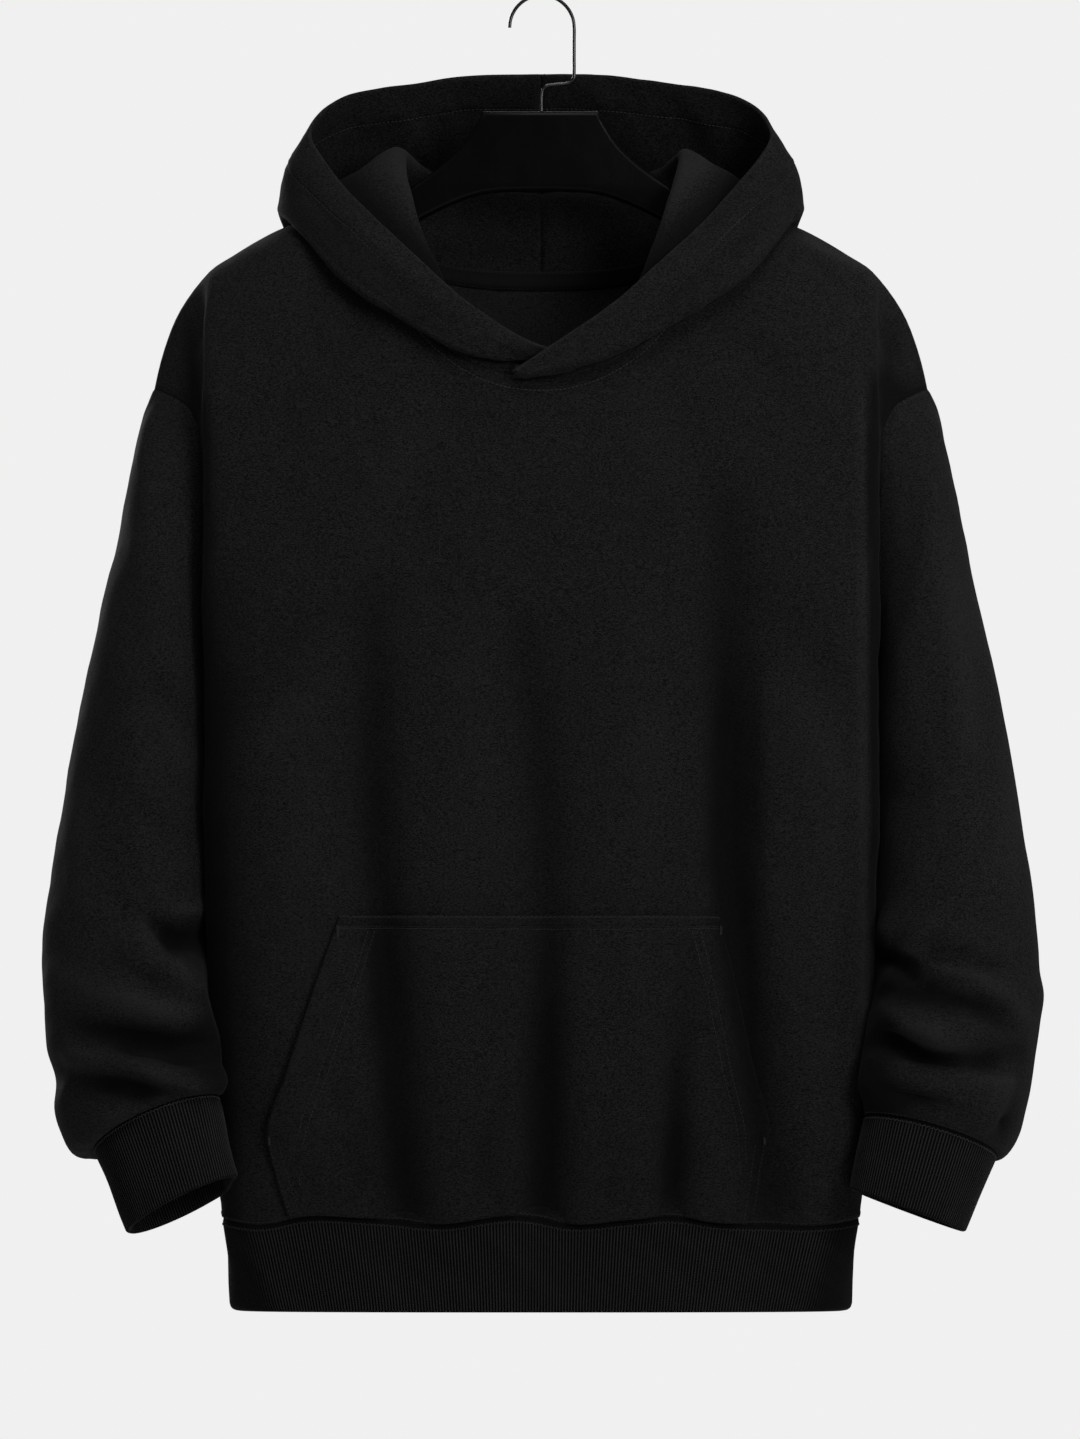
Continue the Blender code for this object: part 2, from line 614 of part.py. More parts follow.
def hem_edge():
    """The hem's lower edge, a level rounded line."""
    points = []
    for j in range(96):
        angle = 2 * math.pi * j / 96
        across, out = math.cos(angle), math.sin(angle)
        power = 2 / HEM_EDGE["power"]
        depth = HEM_EDGE["back"] if out > 0 else HEM_EDGE["front"]
        x = HEM_EDGE["half_width"] * math.copysign(abs(across) ** power, across)
        points.append(place(x, depth * math.copysign(abs(out) ** power, out), HEM_EDGE_DROP))
    return np.array(points)


def build_hem(front, back, finish):
    upper = np.vstack((back[-1][::-1], front[-1][1:-1]))
    lower = along_line(hem_edge(), 4 * BAND_INNER_POINTS)
    start = int(np.argmin(np.linalg.norm((lower - upper[0]) * (1, 1, 0), axis=1)))
    lower = np.roll(lower, -start, axis=0)
    build_band("hem_band", upper, lower, BAND_INNER_POINTS, finish)


def build_cuff(name, side, cuff, seam, finish):
    """The cuff carries on from its seam, leaning in and forward, and narrows to the wrist."""
    centre = seam.mean(axis=0)
    inward, forward = (math.tan(math.radians(angle)) for angle in cuff["lean"])
    axis = unit(np.array((-side * inward, -forward, -1)))
    lower = centre + (seam - centre) * cuff["narrow"] + axis * cuff["length"]
    build_band(name, seam, lower, CUFF_INNER_POINTS, finish)


# ---------------------------------------------------------------- pocket and tape


def build_pocket(finish):
    """The kangaroo pocket: the front's own surface moved out, sewn at its top, foot and lower sides."""
    rows = []
    for i in range(POCKET_ROWS + 1):
        down = i / POCKET_ROWS
        row = []
        for j in range(POCKET_COLUMNS + 1):
            across = j / POCKET_COLUMNS
            foot = read(HEM_SEAM, "drop", mix(POCKET["left"][-1], POCKET["right"][-1], across))
            drop = mix(POCKET_TOP, foot - POCKET_FOOT_UP, down)
            x = mix(read(POCKET, "left", drop), read(POCKET, "right", drop), across)
            point = face_point(FRONT, x, drop)
            away = unit(np.array((0.12 * x / 200, -1, 0)))
            arch = math.sin(math.pi * across)
            sides = arch**0.5 if drop > POCKET_CORNER else 0.5 + 0.5 * arch
            stand = POCKET_SEAM_OFF + POCKET_BULGE * math.sin(math.pi * down) ** 0.8 * sides
            row.append(point + away * (WALL + stand))
        rows.append(row)
    grid = np.array(rows)
    normals = normals_of(grid)
    normals *= -np.sign(normals[..., 1:2])
    wall_object("pocket", grid + normals * WALL / 2, grid - normals * WALL / 2, finish)


def build_tape(back, finish):
    """The strip over the back neck seam, on the back panel's inner side."""
    columns = np.s_[SEAM_COLUMN - TAPE_HALF_COLUMNS : SEAM_COLUMN + TAPE_HALF_COLUMNS + 1]
    inner = back["walls"] - back["normals"] * WALL / 2
    strip, normals = inner[0:2, columns], back["normals"][0:2, columns]
    near = strip - normals * SEAM_GAP
    wall_object("neck_tape", near, near - normals * TAPE_WALL, finish)


# ---------------------------------------------------------------- hood


def rounded_turn(before, corner, after, radius, out, along):
    """An arc in place of a corner, with its tip at the corner, in the plane square to the fold's own line.

    A hairpin turns over towards its out side.
    """
    legs = before - corner, after - corner
    came, goes = (unit(leg - along * np.dot(leg, along)) for leg in legs)
    out = out - along * np.dot(out, along)
    inward = unit(came + goes)
    across = goes - came + out
    across = unit(across - inward * np.dot(across, inward))
    half = math.acos(np.clip(np.dot(inward, goes), -1, 1))
    centre = corner + inward * radius
    turns = np.linspace(half - math.pi / 2, math.pi / 2 - half, TURN_POINTS)
    return [centre + (across * math.sin(turn) - inward * math.cos(turn)) * radius for turn in turns]


def between(start, end, count, push):
    """Points spaced evenly between two, bowed by a push in their middle."""
    shares = [(i + 1) / (count + 1) for i in range(count)]
    return [mix(start, end, share) + push * math.sin(math.pi * share) for share in shares]


def hood_station(sizes, station):
    at = {name: float(read(sizes, name, station)) for name in sizes}
    return at, *(place(at[f"{name}_x"], at[f"{name}_y"], at[name]) for name in ("roll", "low", "edge"))


def line_way(sizes, station, line):
    """Direction of one of the hood's three lines (1 rolled edge, 2 lowest fold, 3 opening) at a station."""
    if station == 0:
        return np.array((1.0, 0, 0))
    return unit(hood_station(sizes, station + 0.2)[line] - hood_station(sizes, station - 0.2)[line])


def hood_profile(sizes, station, neck):
    """The hood's line at one place of the neck seam: up the stand, over, down to the low fold and up."""
    at, roll, low, edge = hood_station(sizes, station)
    rolled, lowest = line_way(sizes, station, 1), line_way(sizes, station, 2)
    out = unit(np.cross(edge - low, lowest))
    first = rounded_turn(neck, roll, low, at["roll_r"], out * 0, rolled)
    second = rounded_turn(roll, low, edge, at["low_r"], out * HAIRPIN_OUT, lowest)
    return [
        neck,
        *between(neck, first[0], STAND_POINTS, out * 0),
        *first,
        *between(first[-1], second[0], FALL_POINTS, out * at["puff"] * 0.3),
        *second,
        *between(second[-1], edge, BAND_POINTS, out * at["puff"]),
        edge,
    ]


def panel_top(face, x):
    """Drop of a panel's top edge at a distance from the centre line."""
    across = min(abs(x) / NECK_HALF_WIDTH, 1)
    neckline = face["neck_drop"] * (1 - across ** face["neck_power"]) ** (1 / face["neck_power"])
    return neckline if across < 1 else float(read(SHOULDER, "drop", abs(x)))


def laid_on_body(point, clearance):
    """A point of the hood moved out, where it would lie under the body's surface."""
    face = FRONT if point[1] < 0 else BACK
    top = panel_top(face, point[0])
    drop = SHOULDER_POINT_Z - point[2]
    reach = NECK_REACH if abs(point[0]) < NECK_HALF_WIDTH else SHOULDER_REACH
    fade = min((reach - (top - drop)) / (0.6 * reach), 1)
    if fade <= 0:
        return point
    needed = fade * (bulge(face, point[0], max(drop, top) + SHOULDER_REACH / 2) + clearance)
    short = needed - abs(point[1])
    if short > -LAID_EASE:
        push = short if short > LAID_EASE else (short + LAID_EASE) ** 2 / (4 * LAID_EASE)
        point = point + np.array((0, face["side"] * push, 0))
    return point


def build_hood(name, side, sizes, front, back, finish):
    """One half, sewn to the neckline from the centre back to just past the centre front."""
    centre = SEAM_COLUMN
    necks, shared = [], []
    for column in range(NECK_COLUMNS):
        necks.append(back["grid"][0, centre + side * column])
        shared.append(back["normals"][0, centre + side * column])
    for column in range(NECK_COLUMNS, -1, -1):
        necks.append(front["grid"][0, centre + side * column])
        shared.append(front["normals"][0, centre + side * column])
    necks.append(mix(front["grid"][0, centre], front["grid"][0, centre - side], CROSSING))
    shared.append(front["normals"][0, centre])
    mirror = np.array((side, 1, 1))
    stations = [HOOD_PLACES * k / (2 * NECK_COLUMNS) for k in range(len(necks))]
    columns = []
    for station, neck in zip(stations, necks):
        under = CROSSED_UNDER * min(max((station - 7) / 0.5, 0), 1) if side < 0 else 0
        foot = neck * mirror + np.array((0, under, 0))
        columns.append(np.array(hood_profile(sizes, station, foot)) * mirror)
    grid = np.array(columns).transpose(1, 0, 2)
    fall = 1 + STAND_POINTS + TURN_POINTS
    band = fall + FALL_POINTS + TURN_POINTS
    for row in range(fall, len(grid)):
        layers = np.clip((row - fall - FALL_POINTS) / (band - fall - FALL_POINTS), 0, 1)
        for k in range(1, len(stations)):
            grid[row, k] = laid_on_body(grid[row, k], mix(FALL_CLEARANCE, BAND_CLEARANCE, layers))
    normals = normals_of(grid) * side
    normals[0] = shared
    normals[:, 0] = unit(normals[:, 0] * (0, 1, 1))
    walls = cut_back(grid, ("top", "first"))
    wall_object(name, walls + normals * WALL / 2, walls - normals * WALL / 2, finish)


# ---------------------------------------------------------------- hanger


def hanger_outline():
    """Right half of the hanger's outline from the plate's top to the arch, as x and drop."""
    top = [(x, float(read(SHOULDER, "drop", x) + read(ARM_TOP, "gap", x))) for x in range(95, 201, 15)]
    foot = [(x, drop + ARM_HEIGHT) for x, drop in top[::-1]]
    return [*PLATE, *top, ARM_TIP, *foot, *ARCH]


def build_hanger(finish):
    """The moulded body: a flat outline with rounded rims."""
    half = hanger_outline()
    outline = half + [(-x, drop) for x, drop in half[-2:0:-1]]
    curve = bpy.data.curves.new("hanger_body", "CURVE")
    curve.dimensions = "2D"
    curve.fill_mode = "BOTH"
    curve.extrude = (ARM_THICKNESS / 2 - ARM_EDGE) * MM
    curve.bevel_depth = ARM_EDGE * MM
    curve.bevel_resolution = 1
    curve.offset = -ARM_EDGE * MM
    line = curve.splines.new("POLY")
    line.points.add(len(outline) - 1)
    for point, (x, drop) in zip(line.points, outline):
        point.co = (x * MM, (SHOULDER_POINT_Z - drop) * MM, 0, 1)
    line.use_cyclic_u = True
    body = add("hanger_body", curve, finish)
    body.rotation_euler = (math.radians(90), 0, 0)


def build_hook(finish):
    """The wire: a round hook, a straight fall, a crook in to the middle and a short stem."""
    centre_z = WIRE / 2 - HOOK_RADIUS
    right = HOOK_CENTRE_X + HOOK_RADIUS
    path = []
    for step in range(HOOK_STEPS + 1):
        angle = math.pi * (1 - step / HOOK_STEPS)
        path.append((HOOK_CENTRE_X + HOOK_RADIUS * math.cos(angle), centre_z + HOOK_RADIUS * math.sin(angle)))
    path += [(right, -30), (right, -40), (right, -48), (right - 1.5, -52.5), (right - 5, -55)]
    path += [(7, -58.2), (3, -60), (0.8, -63.5), (0.3, -68), (0.3, SHOULDER_POINT_Z - PLATE[0][1] + SEAM_GAP)]
    curve = bpy.data.curves.new("hanger_hook", "CURVE")
    curve.dimensions = "3D"
    curve.bevel_depth = WIRE / 2 * MM
    curve.bevel_resolution = 2
    curve.use_fill_caps = True
    line = curve.splines.new("POLY")
    line.points.add(len(path) - 1)
    for point, (x, z) in zip(line.points, path):
        point.co = (x * MM, 0, z * MM, 1)
    add("hanger_hook", curve, finish)


# ---------------------------------------------------------------- build


def shape_panel(face):
    grid = face_grid(face)
    return {
        "grid": grid,
        "normals": seam_normals(face, grid),
        "walls": cut_back(grid, ("top", "foot", "first", "last")),
    }


def build_panel(name, panel, finish):
    walls, half = panel["walls"], panel["normals"] * WALL / 2
    wall_object(name, walls + half, walls - half, finish)


def main():
    for old in list(bpy.data.objects):
        bpy.data.objects.remove(old)
    collection = bpy.data.collections.new(COLLECTION)
    bpy.context.scene.collection.children.link(collection)
    fleece = material("black_fleece", (0.012, 0.012, 0.013), 0.92)
    rib = material("black_rib", (0.010, 0.010, 0.011), 0.9)
    tape = material("black_tape", (0.011, 0.011, 0.012), 0.8)
    plastic = material("black_plastic", (0.006, 0.006, 0.007), 0.38)
    wire = material("dark_steel_wire", (0.09, 0.09, 0.1), 0.3, 1.0)

    front, back = shape_panel(FRONT), shape_panel(BACK)
    right = shape_sleeve(-1, SLEEVE_RIGHT, SLACK_RIGHT, front, back)
    left = shape_sleeve(1, SLEEVE_LEFT, SLACK_LEFT, front, back)
    set_armhole_mitres(front, back, right, -1)
    set_armhole_mitres(front, back, left, 1)
    build_panel("front_panel", front, fleece)
    build_panel("back_panel", back, fleece)
    build_pocket(fleece)
    build_tape(back, tape)
    build_sleeve("sleeve_right", right, fleece)
    build_sleeve("sleeve_left", left, fleece)
    build_cuff("cuff_right", -1, RIGHT_CUFF, right["grid"][-1], rib)
    build_cuff("cuff_left", 1, LEFT_CUFF, left["grid"][-1], rib)
    build_hem(front["grid"], back["grid"], rib)
    build_hood("hood_left", 1, HOOD_LEFT, front, back, fleece)
    build_hood("hood_right", -1, HOOD_RIGHT, front, back, fleece)
    build_hanger(plastic)
    build_hook(wire)


main()
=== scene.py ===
# %% [markdown]
# # A black pullover hoodie on a suit hanger
# The hoodie hangs open on its hanger, so nothing fills it. Every cut piece of cloth is a thin wall with an
# outer and an inner face. Each piece is a grid of points: coarse rows of sizes give its hang, a smooth curve
# through them gives many more points, and folds move those points in or out along the cloth's own normals.

import json
import math

import bmesh
import bpy
import numpy as np
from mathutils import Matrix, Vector

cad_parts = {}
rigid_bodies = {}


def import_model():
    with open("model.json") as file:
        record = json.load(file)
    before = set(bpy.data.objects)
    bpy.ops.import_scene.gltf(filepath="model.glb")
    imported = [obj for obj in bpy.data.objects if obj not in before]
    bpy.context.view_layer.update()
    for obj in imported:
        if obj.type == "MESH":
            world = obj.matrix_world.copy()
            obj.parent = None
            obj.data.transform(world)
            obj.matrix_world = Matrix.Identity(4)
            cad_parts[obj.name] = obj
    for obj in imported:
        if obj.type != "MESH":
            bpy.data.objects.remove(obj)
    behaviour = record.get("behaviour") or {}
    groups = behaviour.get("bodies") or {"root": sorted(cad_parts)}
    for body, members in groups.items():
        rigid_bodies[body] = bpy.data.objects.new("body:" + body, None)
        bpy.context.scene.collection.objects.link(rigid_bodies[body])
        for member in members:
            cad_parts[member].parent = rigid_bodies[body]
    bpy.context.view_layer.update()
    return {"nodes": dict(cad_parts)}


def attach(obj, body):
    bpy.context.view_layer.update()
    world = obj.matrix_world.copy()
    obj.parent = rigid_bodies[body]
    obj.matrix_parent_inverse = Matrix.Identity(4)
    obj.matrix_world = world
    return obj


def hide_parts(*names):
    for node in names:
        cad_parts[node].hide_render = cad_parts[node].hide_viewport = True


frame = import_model()
MM = 0.001
print("nodes:", ", ".join(sorted(frame["nodes"])))

# %% [markdown]
# ## Sizes by table
# A garment's shape changes slowly from place to place. A short table of sizes with a smooth curve through
# its rows is easy to read and to correct, where thousands of typed points would not be. A drop is a height
# measured down from the high shoulder point.

# %% Tables and points
SHOULDER_POINT_Z = -129.0


def table(columns, *rows):
    """Rows of sizes as one array for each named column. The first column is the one that is looked up."""
    return dict(zip(columns.split(), np.array(rows, float).T))


def read(sizes, column, at):
    """A column's value at any place along the first column, on a smooth curve through the rows."""
    keys = next(iter(sizes.values()))
    values = sizes[column]
    slopes = np.gradient(values, keys)
    at = np.clip(at, keys[0], keys[-1])
    row = np.clip(np.searchsorted(keys, at) - 1, 0, len(keys) - 2)
    step = keys[row + 1] - keys[row]
    t = (at - keys[row]) / step
    start = values[row] * (1 + 2 * t) * (1 - t) ** 2 + slopes[row] * step * t * (1 - t) ** 2
    return start + values[row + 1] * t * t * (3 - 2 * t) - slopes[row + 1] * step * t * t * (1 - t)


def place(x, y, drop):
    return np.array((x, y, SHOULDER_POINT_Z - drop), float)


def unit(vectors):
    return vectors / np.maximum(np.linalg.norm(vectors, axis=-1, keepdims=True), 1e-9)


def mix(a, b, share):
    return a + (b - a) * share


def fading(gap, width):
    """1 on a line, and softly to 0 some widths away from it."""
    return np.exp(-((gap / width) ** 2))


def rising(value, start, span):
    """0 up to the start and 1 past the span, straight between them."""
    return np.clip((value - start) / span, 0, 1)


# %% Sizes of the body
SHOULDER = table(
    "x drop",
    (0, -18), (50, -14), (105, 0), (140, 11.5), (169, 21.5), (190, 33), (204, 42), (213, 48),
    (220, 54.5), (229, 67), (236, 80), (241, 93), (245, 106), (249, 124),
)  # fmt: skip
NECK_HALF_WIDTH = 105.0
UNDERARM_DROP = 330.0
BULGE_DROP, BULGE_POWER, CORNER_POWER = 95.0, 0.6, 3.2
FRONT = {"side": -1, "depth": 86.0, "neck_drop": 121.0, "neck_power": 2.1}
BACK = {"side": 1, "depth": 76.0, "neck_drop": 48.0, "neck_power": 2.8}
FOLD_EDGE = table(
    "drop x share pull",
    (47, 213, 0.90, 1.00), (150, 213, 0.86, 1.00), (250, 213, 0.76, 1.00), (335, 213, 0.68, 1.00),
    (450, 212, 0.64, 0.99), (540, 209, 0.62, 0.93), (600, 206, 0.60, 0.83), (656, 202, 0.58, 0.64),
)  # fmt: skip
ARMHOLE = table(
    "row x drop depth",
    (0, 249, 124, 0), (1, 238, 129, 11), (2, 226, 137, 19), (3, 218, 154, 25), (4, 216, 188, 28),
    (5, 213, 225, 28), (6, 207, 265, 24), (7, 198, 305, 15), (8, 191, 330, 0),
)  # fmt: skip
SIDE_SEAM = table(
    "drop x y",
    (330, 191, 0), (385, 186, 1), (450, 185, 2), (540, 190, 2), (600, 196, 0), (656, 200, -4),
)  # fmt: skip
HEM_SEAM = table(
    "x drop",
    (-202, 656), (-175, 658), (-153, 653), (-106, 654), (-68, 657.5), (-13, 652), (18, 657.5),
    (59, 654), (86, 652.5), (108, 656), (133, 657.5), (174, 658.5), (202, 656),
)  # fmt: skip
TROUGHS = "x_top x_low start end width depth"
FRONT["troughs"] = table(
    TROUGHS,
    (-104, -88, 300, 700, 21, 5.5), (2, 4, 270, 700, 19, 4.5), (130, 124, 240, 480, 18, 7.0),
    (84, 83, 590, 700, 14, 4.5), (150, 148, 590, 700, 14, 5.0), (-40, -150, 110, 300, 24, 3.0),
    (52, 150, 120, 290, 24, 3.0),
)  # fmt: skip
BACK["troughs"] = table(
    TROUGHS,
    (-120, -96, 250, 700, 22, 6.0), (-20, -8, 330, 700, 20, 5.0), (92, 84, 270, 700, 20, 6.0),
    (150, 146, 560, 700, 15, 4.5), (-60, -150, 190, 360, 26, 4.0), (56, 160, 200, 380, 26, 4.0),
)  # fmt: skip
NECK_COLUMNS, FOLD_COLUMN, SEAM_COLUMN = 8, 15, 18
UNDERARM_ROW, ROW_CROWDING, COLUMN_CROWDING = 8, 1.5, 0.8
NECK_SPREAD, HEM_DROP = 0.61, 656.0
LOWER_DROPS = (385, 440, 500, 555, 610)
print("a half of each body panel has", SEAM_COLUMN, "coarse columns")


# %% [markdown]
# ## Body panels
# The front and the back are cut alike but hang differently. Near the shoulder the cloth lies on the hanger,
# and below it the cloth swings away, fast and then slower. Past the visible side it turns back to the side
# seam. A formula for how far each face stands off the hanger gives that with few numbers.

# %% Surface of one face
def bulge(face, x, drop):
    below = max(drop - read(SHOULDER, "drop", abs(x)), 0)
    full = face["depth"] * (1 - math.exp(-((below / BULGE_DROP) ** BULGE_POWER)))
    share = read(FOLD_EDGE, "share", drop)
    across = min(abs(x) / read(FOLD_EDGE, "x", drop), 1)
    rounded = share + (1 - share) * (1 - across**CORNER_POWER) ** (1 / CORNER_POWER)
    return full * rounded * read(FOLD_EDGE, "pull", drop)


def trough(face, x, drop):
    """Depth of the long hanging folds at this place of a face."""
    folds = face["troughs"]
    along = rising(drop, folds["start"], folds["end"] - folds["start"])
    centre = mix(folds["x_top"], folds["x_low"], along)
    to_the_hem = folds["end"] > HEM_DROP
    fade = np.sin(np.pi * along * np.where(to_the_hem, 0.6, 1)) ** 0.7
    return float(np.sum(folds["depth"] * fade * fading(x - centre, folds["width"])))


def face_point(face, x, drop):
    return place(x, face["side"] * (bulge(face, x, drop) - trough(face, x, drop)), drop)


def top_edge(face, column):
    """x and drop of the panel's top edge: the neckline, then the shoulder seam."""
    if column <= NECK_COLUMNS:
        turn = math.pi / 2 * column / NECK_COLUMNS
        power = 2 / face["neck_power"]
        across = math.sin(turn) ** power
        return NECK_HALF_WIDTH * across, face["neck_drop"] * max(math.cos(turn), 0) ** power
    share = (column - NECK_COLUMNS) / (FOLD_COLUMN - NECK_COLUMNS)
    x = mix(NECK_HALF_WIDTH, SHOULDER["x"][7], share)
    return x, float(read(SHOULDER, "drop", x))


def armhole_point(face, row):
    x, drop, depth = (float(read(ARMHOLE, name, row)) for name in ("x", "drop", "depth"))
    return place(x, face["side"] * depth, drop)


def side_point(face, row, drop, fold, share):
    """A point past the fold edge: it turns back along the body's side to the armhole or the side seam."""
    if row == 0:
        low = mix(SHOULDER["drop"][7], SHOULDER["drop"][-1], share)
        return place(float(np.interp(low, SHOULDER["drop"], SHOULDER["x"])), 0, low)
    if row <= UNDERARM_ROW:
        seam = armhole_point(face, row)
    else:
        seam = place(float(read(SIDE_SEAM, "x", drop)), float(read(SIDE_SEAM, "y", drop)), drop)
    turn = fold.copy()
    turn[0] = mix(fold[0], seam[0], 0.3 if row > UNDERARM_ROW else 0.3 * row / UNDERARM_ROW)
    turn[1] = mix(fold[1], seam[1], 0.6)
    turn[2] = mix(fold[2], seam[2], 0.5)
    return fold * (1 - share) ** 2 + turn * 2 * share * (1 - share) + seam * share**2


def column_x(column, drop):
    spread = [0, NECK_COLUMNS, FOLD_COLUMN], [0, NECK_SPREAD, 1]
    return float(read(FOLD_EDGE, "x", drop) * np.interp(column, *spread))


# %% Coarse grid of a panel
def half_row(face, side, row):
    """One row of a face's half, from the centre line to the armhole or side seam, for a positive x."""
    points = []
    for column in range(SEAM_COLUMN + 1):
        inner = min(column, FOLD_COLUMN)
        if row <= UNDERARM_ROW:
            top_x, top_drop = top_edge(face, inner)
            x = mix(top_x, column_x(inner, UNDERARM_DROP), (row / UNDERARM_ROW) ** COLUMN_CROWDING)
            drop = mix(top_drop, UNDERARM_DROP, (row / UNDERARM_ROW) ** ROW_CROWDING)
        elif row - UNDERARM_ROW <= len(LOWER_DROPS):
            drop = LOWER_DROPS[row - UNDERARM_ROW - 1]
            x = column_x(inner, drop)
        else:
            x = column_x(inner, HEM_DROP)
            drop = read(HEM_SEAM, "drop", side * x)
        point = face_point(face, side * x, float(drop))
        point[0] *= side
        if column > FOLD_COLUMN:
            share = (column - FOLD_COLUMN) / (SEAM_COLUMN - FOLD_COLUMN)
            point = side_point(face, row, float(drop), point, share)
        points.append(point)
    return points


def face_grid(face):
    rows = []
    for row in range(UNDERARM_ROW + len(LOWER_DROPS) + 2):
        right = [point * (-1, 1, 1) for point in half_row(face, -1, row)]
        rows.append(right[:0:-1] + half_row(face, 1, row))
    return np.array(rows)


def neck_outward(point):
    return unit(np.array((point[0] * 0.5, point[1], 0)))


def normals_of(grid, closed=False):
    down = np.gradient(grid, axis=0)
    if closed:
        across = np.roll(grid, -1, axis=1) - np.roll(grid, 1, axis=1)
    else:
        across = np.gradient(grid, axis=1)
    return unit(np.cross(down, across))


def seam_normals(face, grid):
    """The panel's wall directions, with those at its seams set to what the piece sewn there has too."""
    normals = normals_of(grid) * -face["side"]
    for side in (-1, 1):
        for column in range(1, SEAM_COLUMN + 1):
            j = SEAM_COLUMN + side * column
            if column < NECK_COLUMNS:
                normals[0, j] = unit(normals[0, j] + neck_outward(grid[0, j]) * column / NECK_COLUMNS)
            elif column == NECK_COLUMNS:
                normals[0, j] = unit(np.array((side, 0, 0.72)))
            else:
                along = grid[0, min(j + 1, 2 * SEAM_COLUMN)] - grid[0, max(j - 1, 0)]
                normals[0, j] = unit(np.array((-along[2], 0, along[0])))
        normals[UNDERARM_ROW + 1 :, SEAM_COLUMN + side * SEAM_COLUMN] = (side, 0, 0)
    normals[-1] = unit(normals[-1] * (1, 1, 0))
    return normals


front_coarse, back_coarse = face_grid(FRONT), face_grid(BACK)
print("coarse panel:", front_coarse.shape[0], "rows by", front_coarse.shape[1], "columns")


# %% [markdown]
# ## From coarse to fine
# A curve that passes through every coarse point, with its speed set by how far apart they are, keeps tight
# folds tight and long falls smooth. Subdivision would pull the cloth away from its seams, so the curve is
# the better choice here. Lines are crowded near a seam, where the cloth dips.

# %% Fine grids
def even(count):
    return np.arange(count) / count


def places_of(steps):
    """Where the fine lines lie, counted in coarse lines."""
    return np.concatenate([i + step for i, step in enumerate(steps)] + [[len(steps)]])


def smooth_line(points, steps, closed=False):
    """A fine curve through every point of one or more lines, with the given shares in each interval."""
    if closed:
        points = np.concatenate((points[-1:], points, points[:2]))
    chord = np.sqrt(np.linalg.norm(np.diff(points, axis=0), axis=-1, keepdims=True)) + 1e-6
    rate = np.diff(points, axis=0) / chord
    slope = np.empty_like(points)
    slope[1:-1] = (rate[:-1] * chord[1:] + rate[1:] * chord[:-1]) / (chord[1:] + chord[:-1])
    slope[0] = (3 * rate[0] - slope[1]) / 2
    slope[-1] = (3 * rate[-1] - slope[-2]) / 2
    first = 1 if closed else 0
    made = []
    for i, shares in enumerate(steps, first):
        t = shares.reshape(-1, *[1] * (points.ndim - 1))
        a, b, h = points[i], points[i + 1], chord[i]
        bend = h * slope[i] * t * (1 - t) ** 2 - h * slope[i + 1] * t * t * (1 - t)
        made.append(a * (1 + 2 * t) * (1 - t) ** 2 + b * t * t * (3 - 2 * t) + bend)
    if not closed:
        made.append(points[-1:])
    return np.concatenate(made)


def refined(grid, rows, columns, closed=False):
    fine = smooth_line(grid, rows)
    return smooth_line(fine.swapaxes(0, 1), columns, closed).swapaxes(0, 1)


def on_line(points, places, at):
    return np.stack([np.interp(at, places, points[:, k]) for k in range(3)], axis=-1)


def run(grid, axis):
    """Length along a grid's lines from their start."""
    steps = np.linalg.norm(np.diff(grid, axis=axis), axis=-1)
    return np.concatenate((np.zeros_like(np.take(steps, [0], axis=axis)), np.cumsum(steps, axis=axis)), axis=axis)


def edge_gaps(grid, edges):
    """Distance from each point to the nearest of the named edges, along the grid's lines."""
    down, across = run(grid, 0), run(grid, 1)
    gaps = {"top": down, "foot": down[-1:] - down, "first": across, "last": across[:, -1:] - across}
    return np.min([gaps[edge] for edge in edges], axis=0)


# %% Folds
def drop_of(points):
    return SHOULDER_POINT_Z - points[..., 2]


def folds(points, lines):
    """How far soft folds move cloth out. Each line is its depth, width, crispness and then x, drop pairs."""
    x, drop = points[..., 0], drop_of(points)
    moved = np.zeros(x.shape)
    for number, (depth, width, crisp, *path) in enumerate(lines):
        path = np.array(path, float)
        lengths = np.linalg.norm(np.diff(path, axis=0), axis=1)
        nearest, along, reached = np.full(x.shape, 1e9), np.zeros(x.shape), 0.0
        for start, end, length in zip(path, path[1:], lengths):
            way = (end - start) / length
            t = np.clip((x - start[0]) * way[0] + (drop - start[1]) * way[1], 0, length)
            gap = np.hypot(x - start[0] - t * way[0], drop - start[1] - t * way[1])
            closer = gap < nearest
            along = np.where(closer, (reached + t) / lengths.sum(), along)
            nearest = np.minimum(gap, nearest)
            reached += length
        fade = np.sin(np.pi * (0.1 + 0.8 * along)) ** 0.8 * (1 + 0.22 * np.sin(8 * along + 1.7 * number))
        moved += depth * fade * np.exp(-((nearest / width) ** (2 - 0.8 * crisp)))
    return moved


def ripple(points, size, seed):
    """Slow unevenness of about 1, with waves around the given size."""
    draw = np.random.default_rng(seed)
    total = np.zeros(points.shape[:-1])
    for _ in range(8):
        way = unit(draw.normal(size=3)) * 2 * math.pi / (size * draw.uniform(0.6, 1.6))
        total += np.sin(points @ way + draw.uniform(0, 2 * math.pi))
    return total / 2


def puckers(points, gap, seed):
    """Small gathers that stitching leaves beside a seam."""
    return 0.34 * ripple(points, 13, seed) * fading(gap, 11) * (1 - fading(gap, 2.5))


def uneven(points, gap, seed, slow, quick, share):
    """The slow and quick unevenness of a whole piece, and its puckers."""
    waves = 0.5 * ripple(points, slow, seed) + share * ripple(points, quick, seed + 1)
    return waves + puckers(points, gap, seed + 2)


# %% [markdown]
# ## Walls of cloth
# Cloth has two faces and an edge. The outer grid and the inner grid are joined round their borders into one
# closed shell, which a Solidify modifier can also make. Doing it by hand lets the wall thin out where it
# rolls into a seam and lets two sewn pieces share one edge direction.

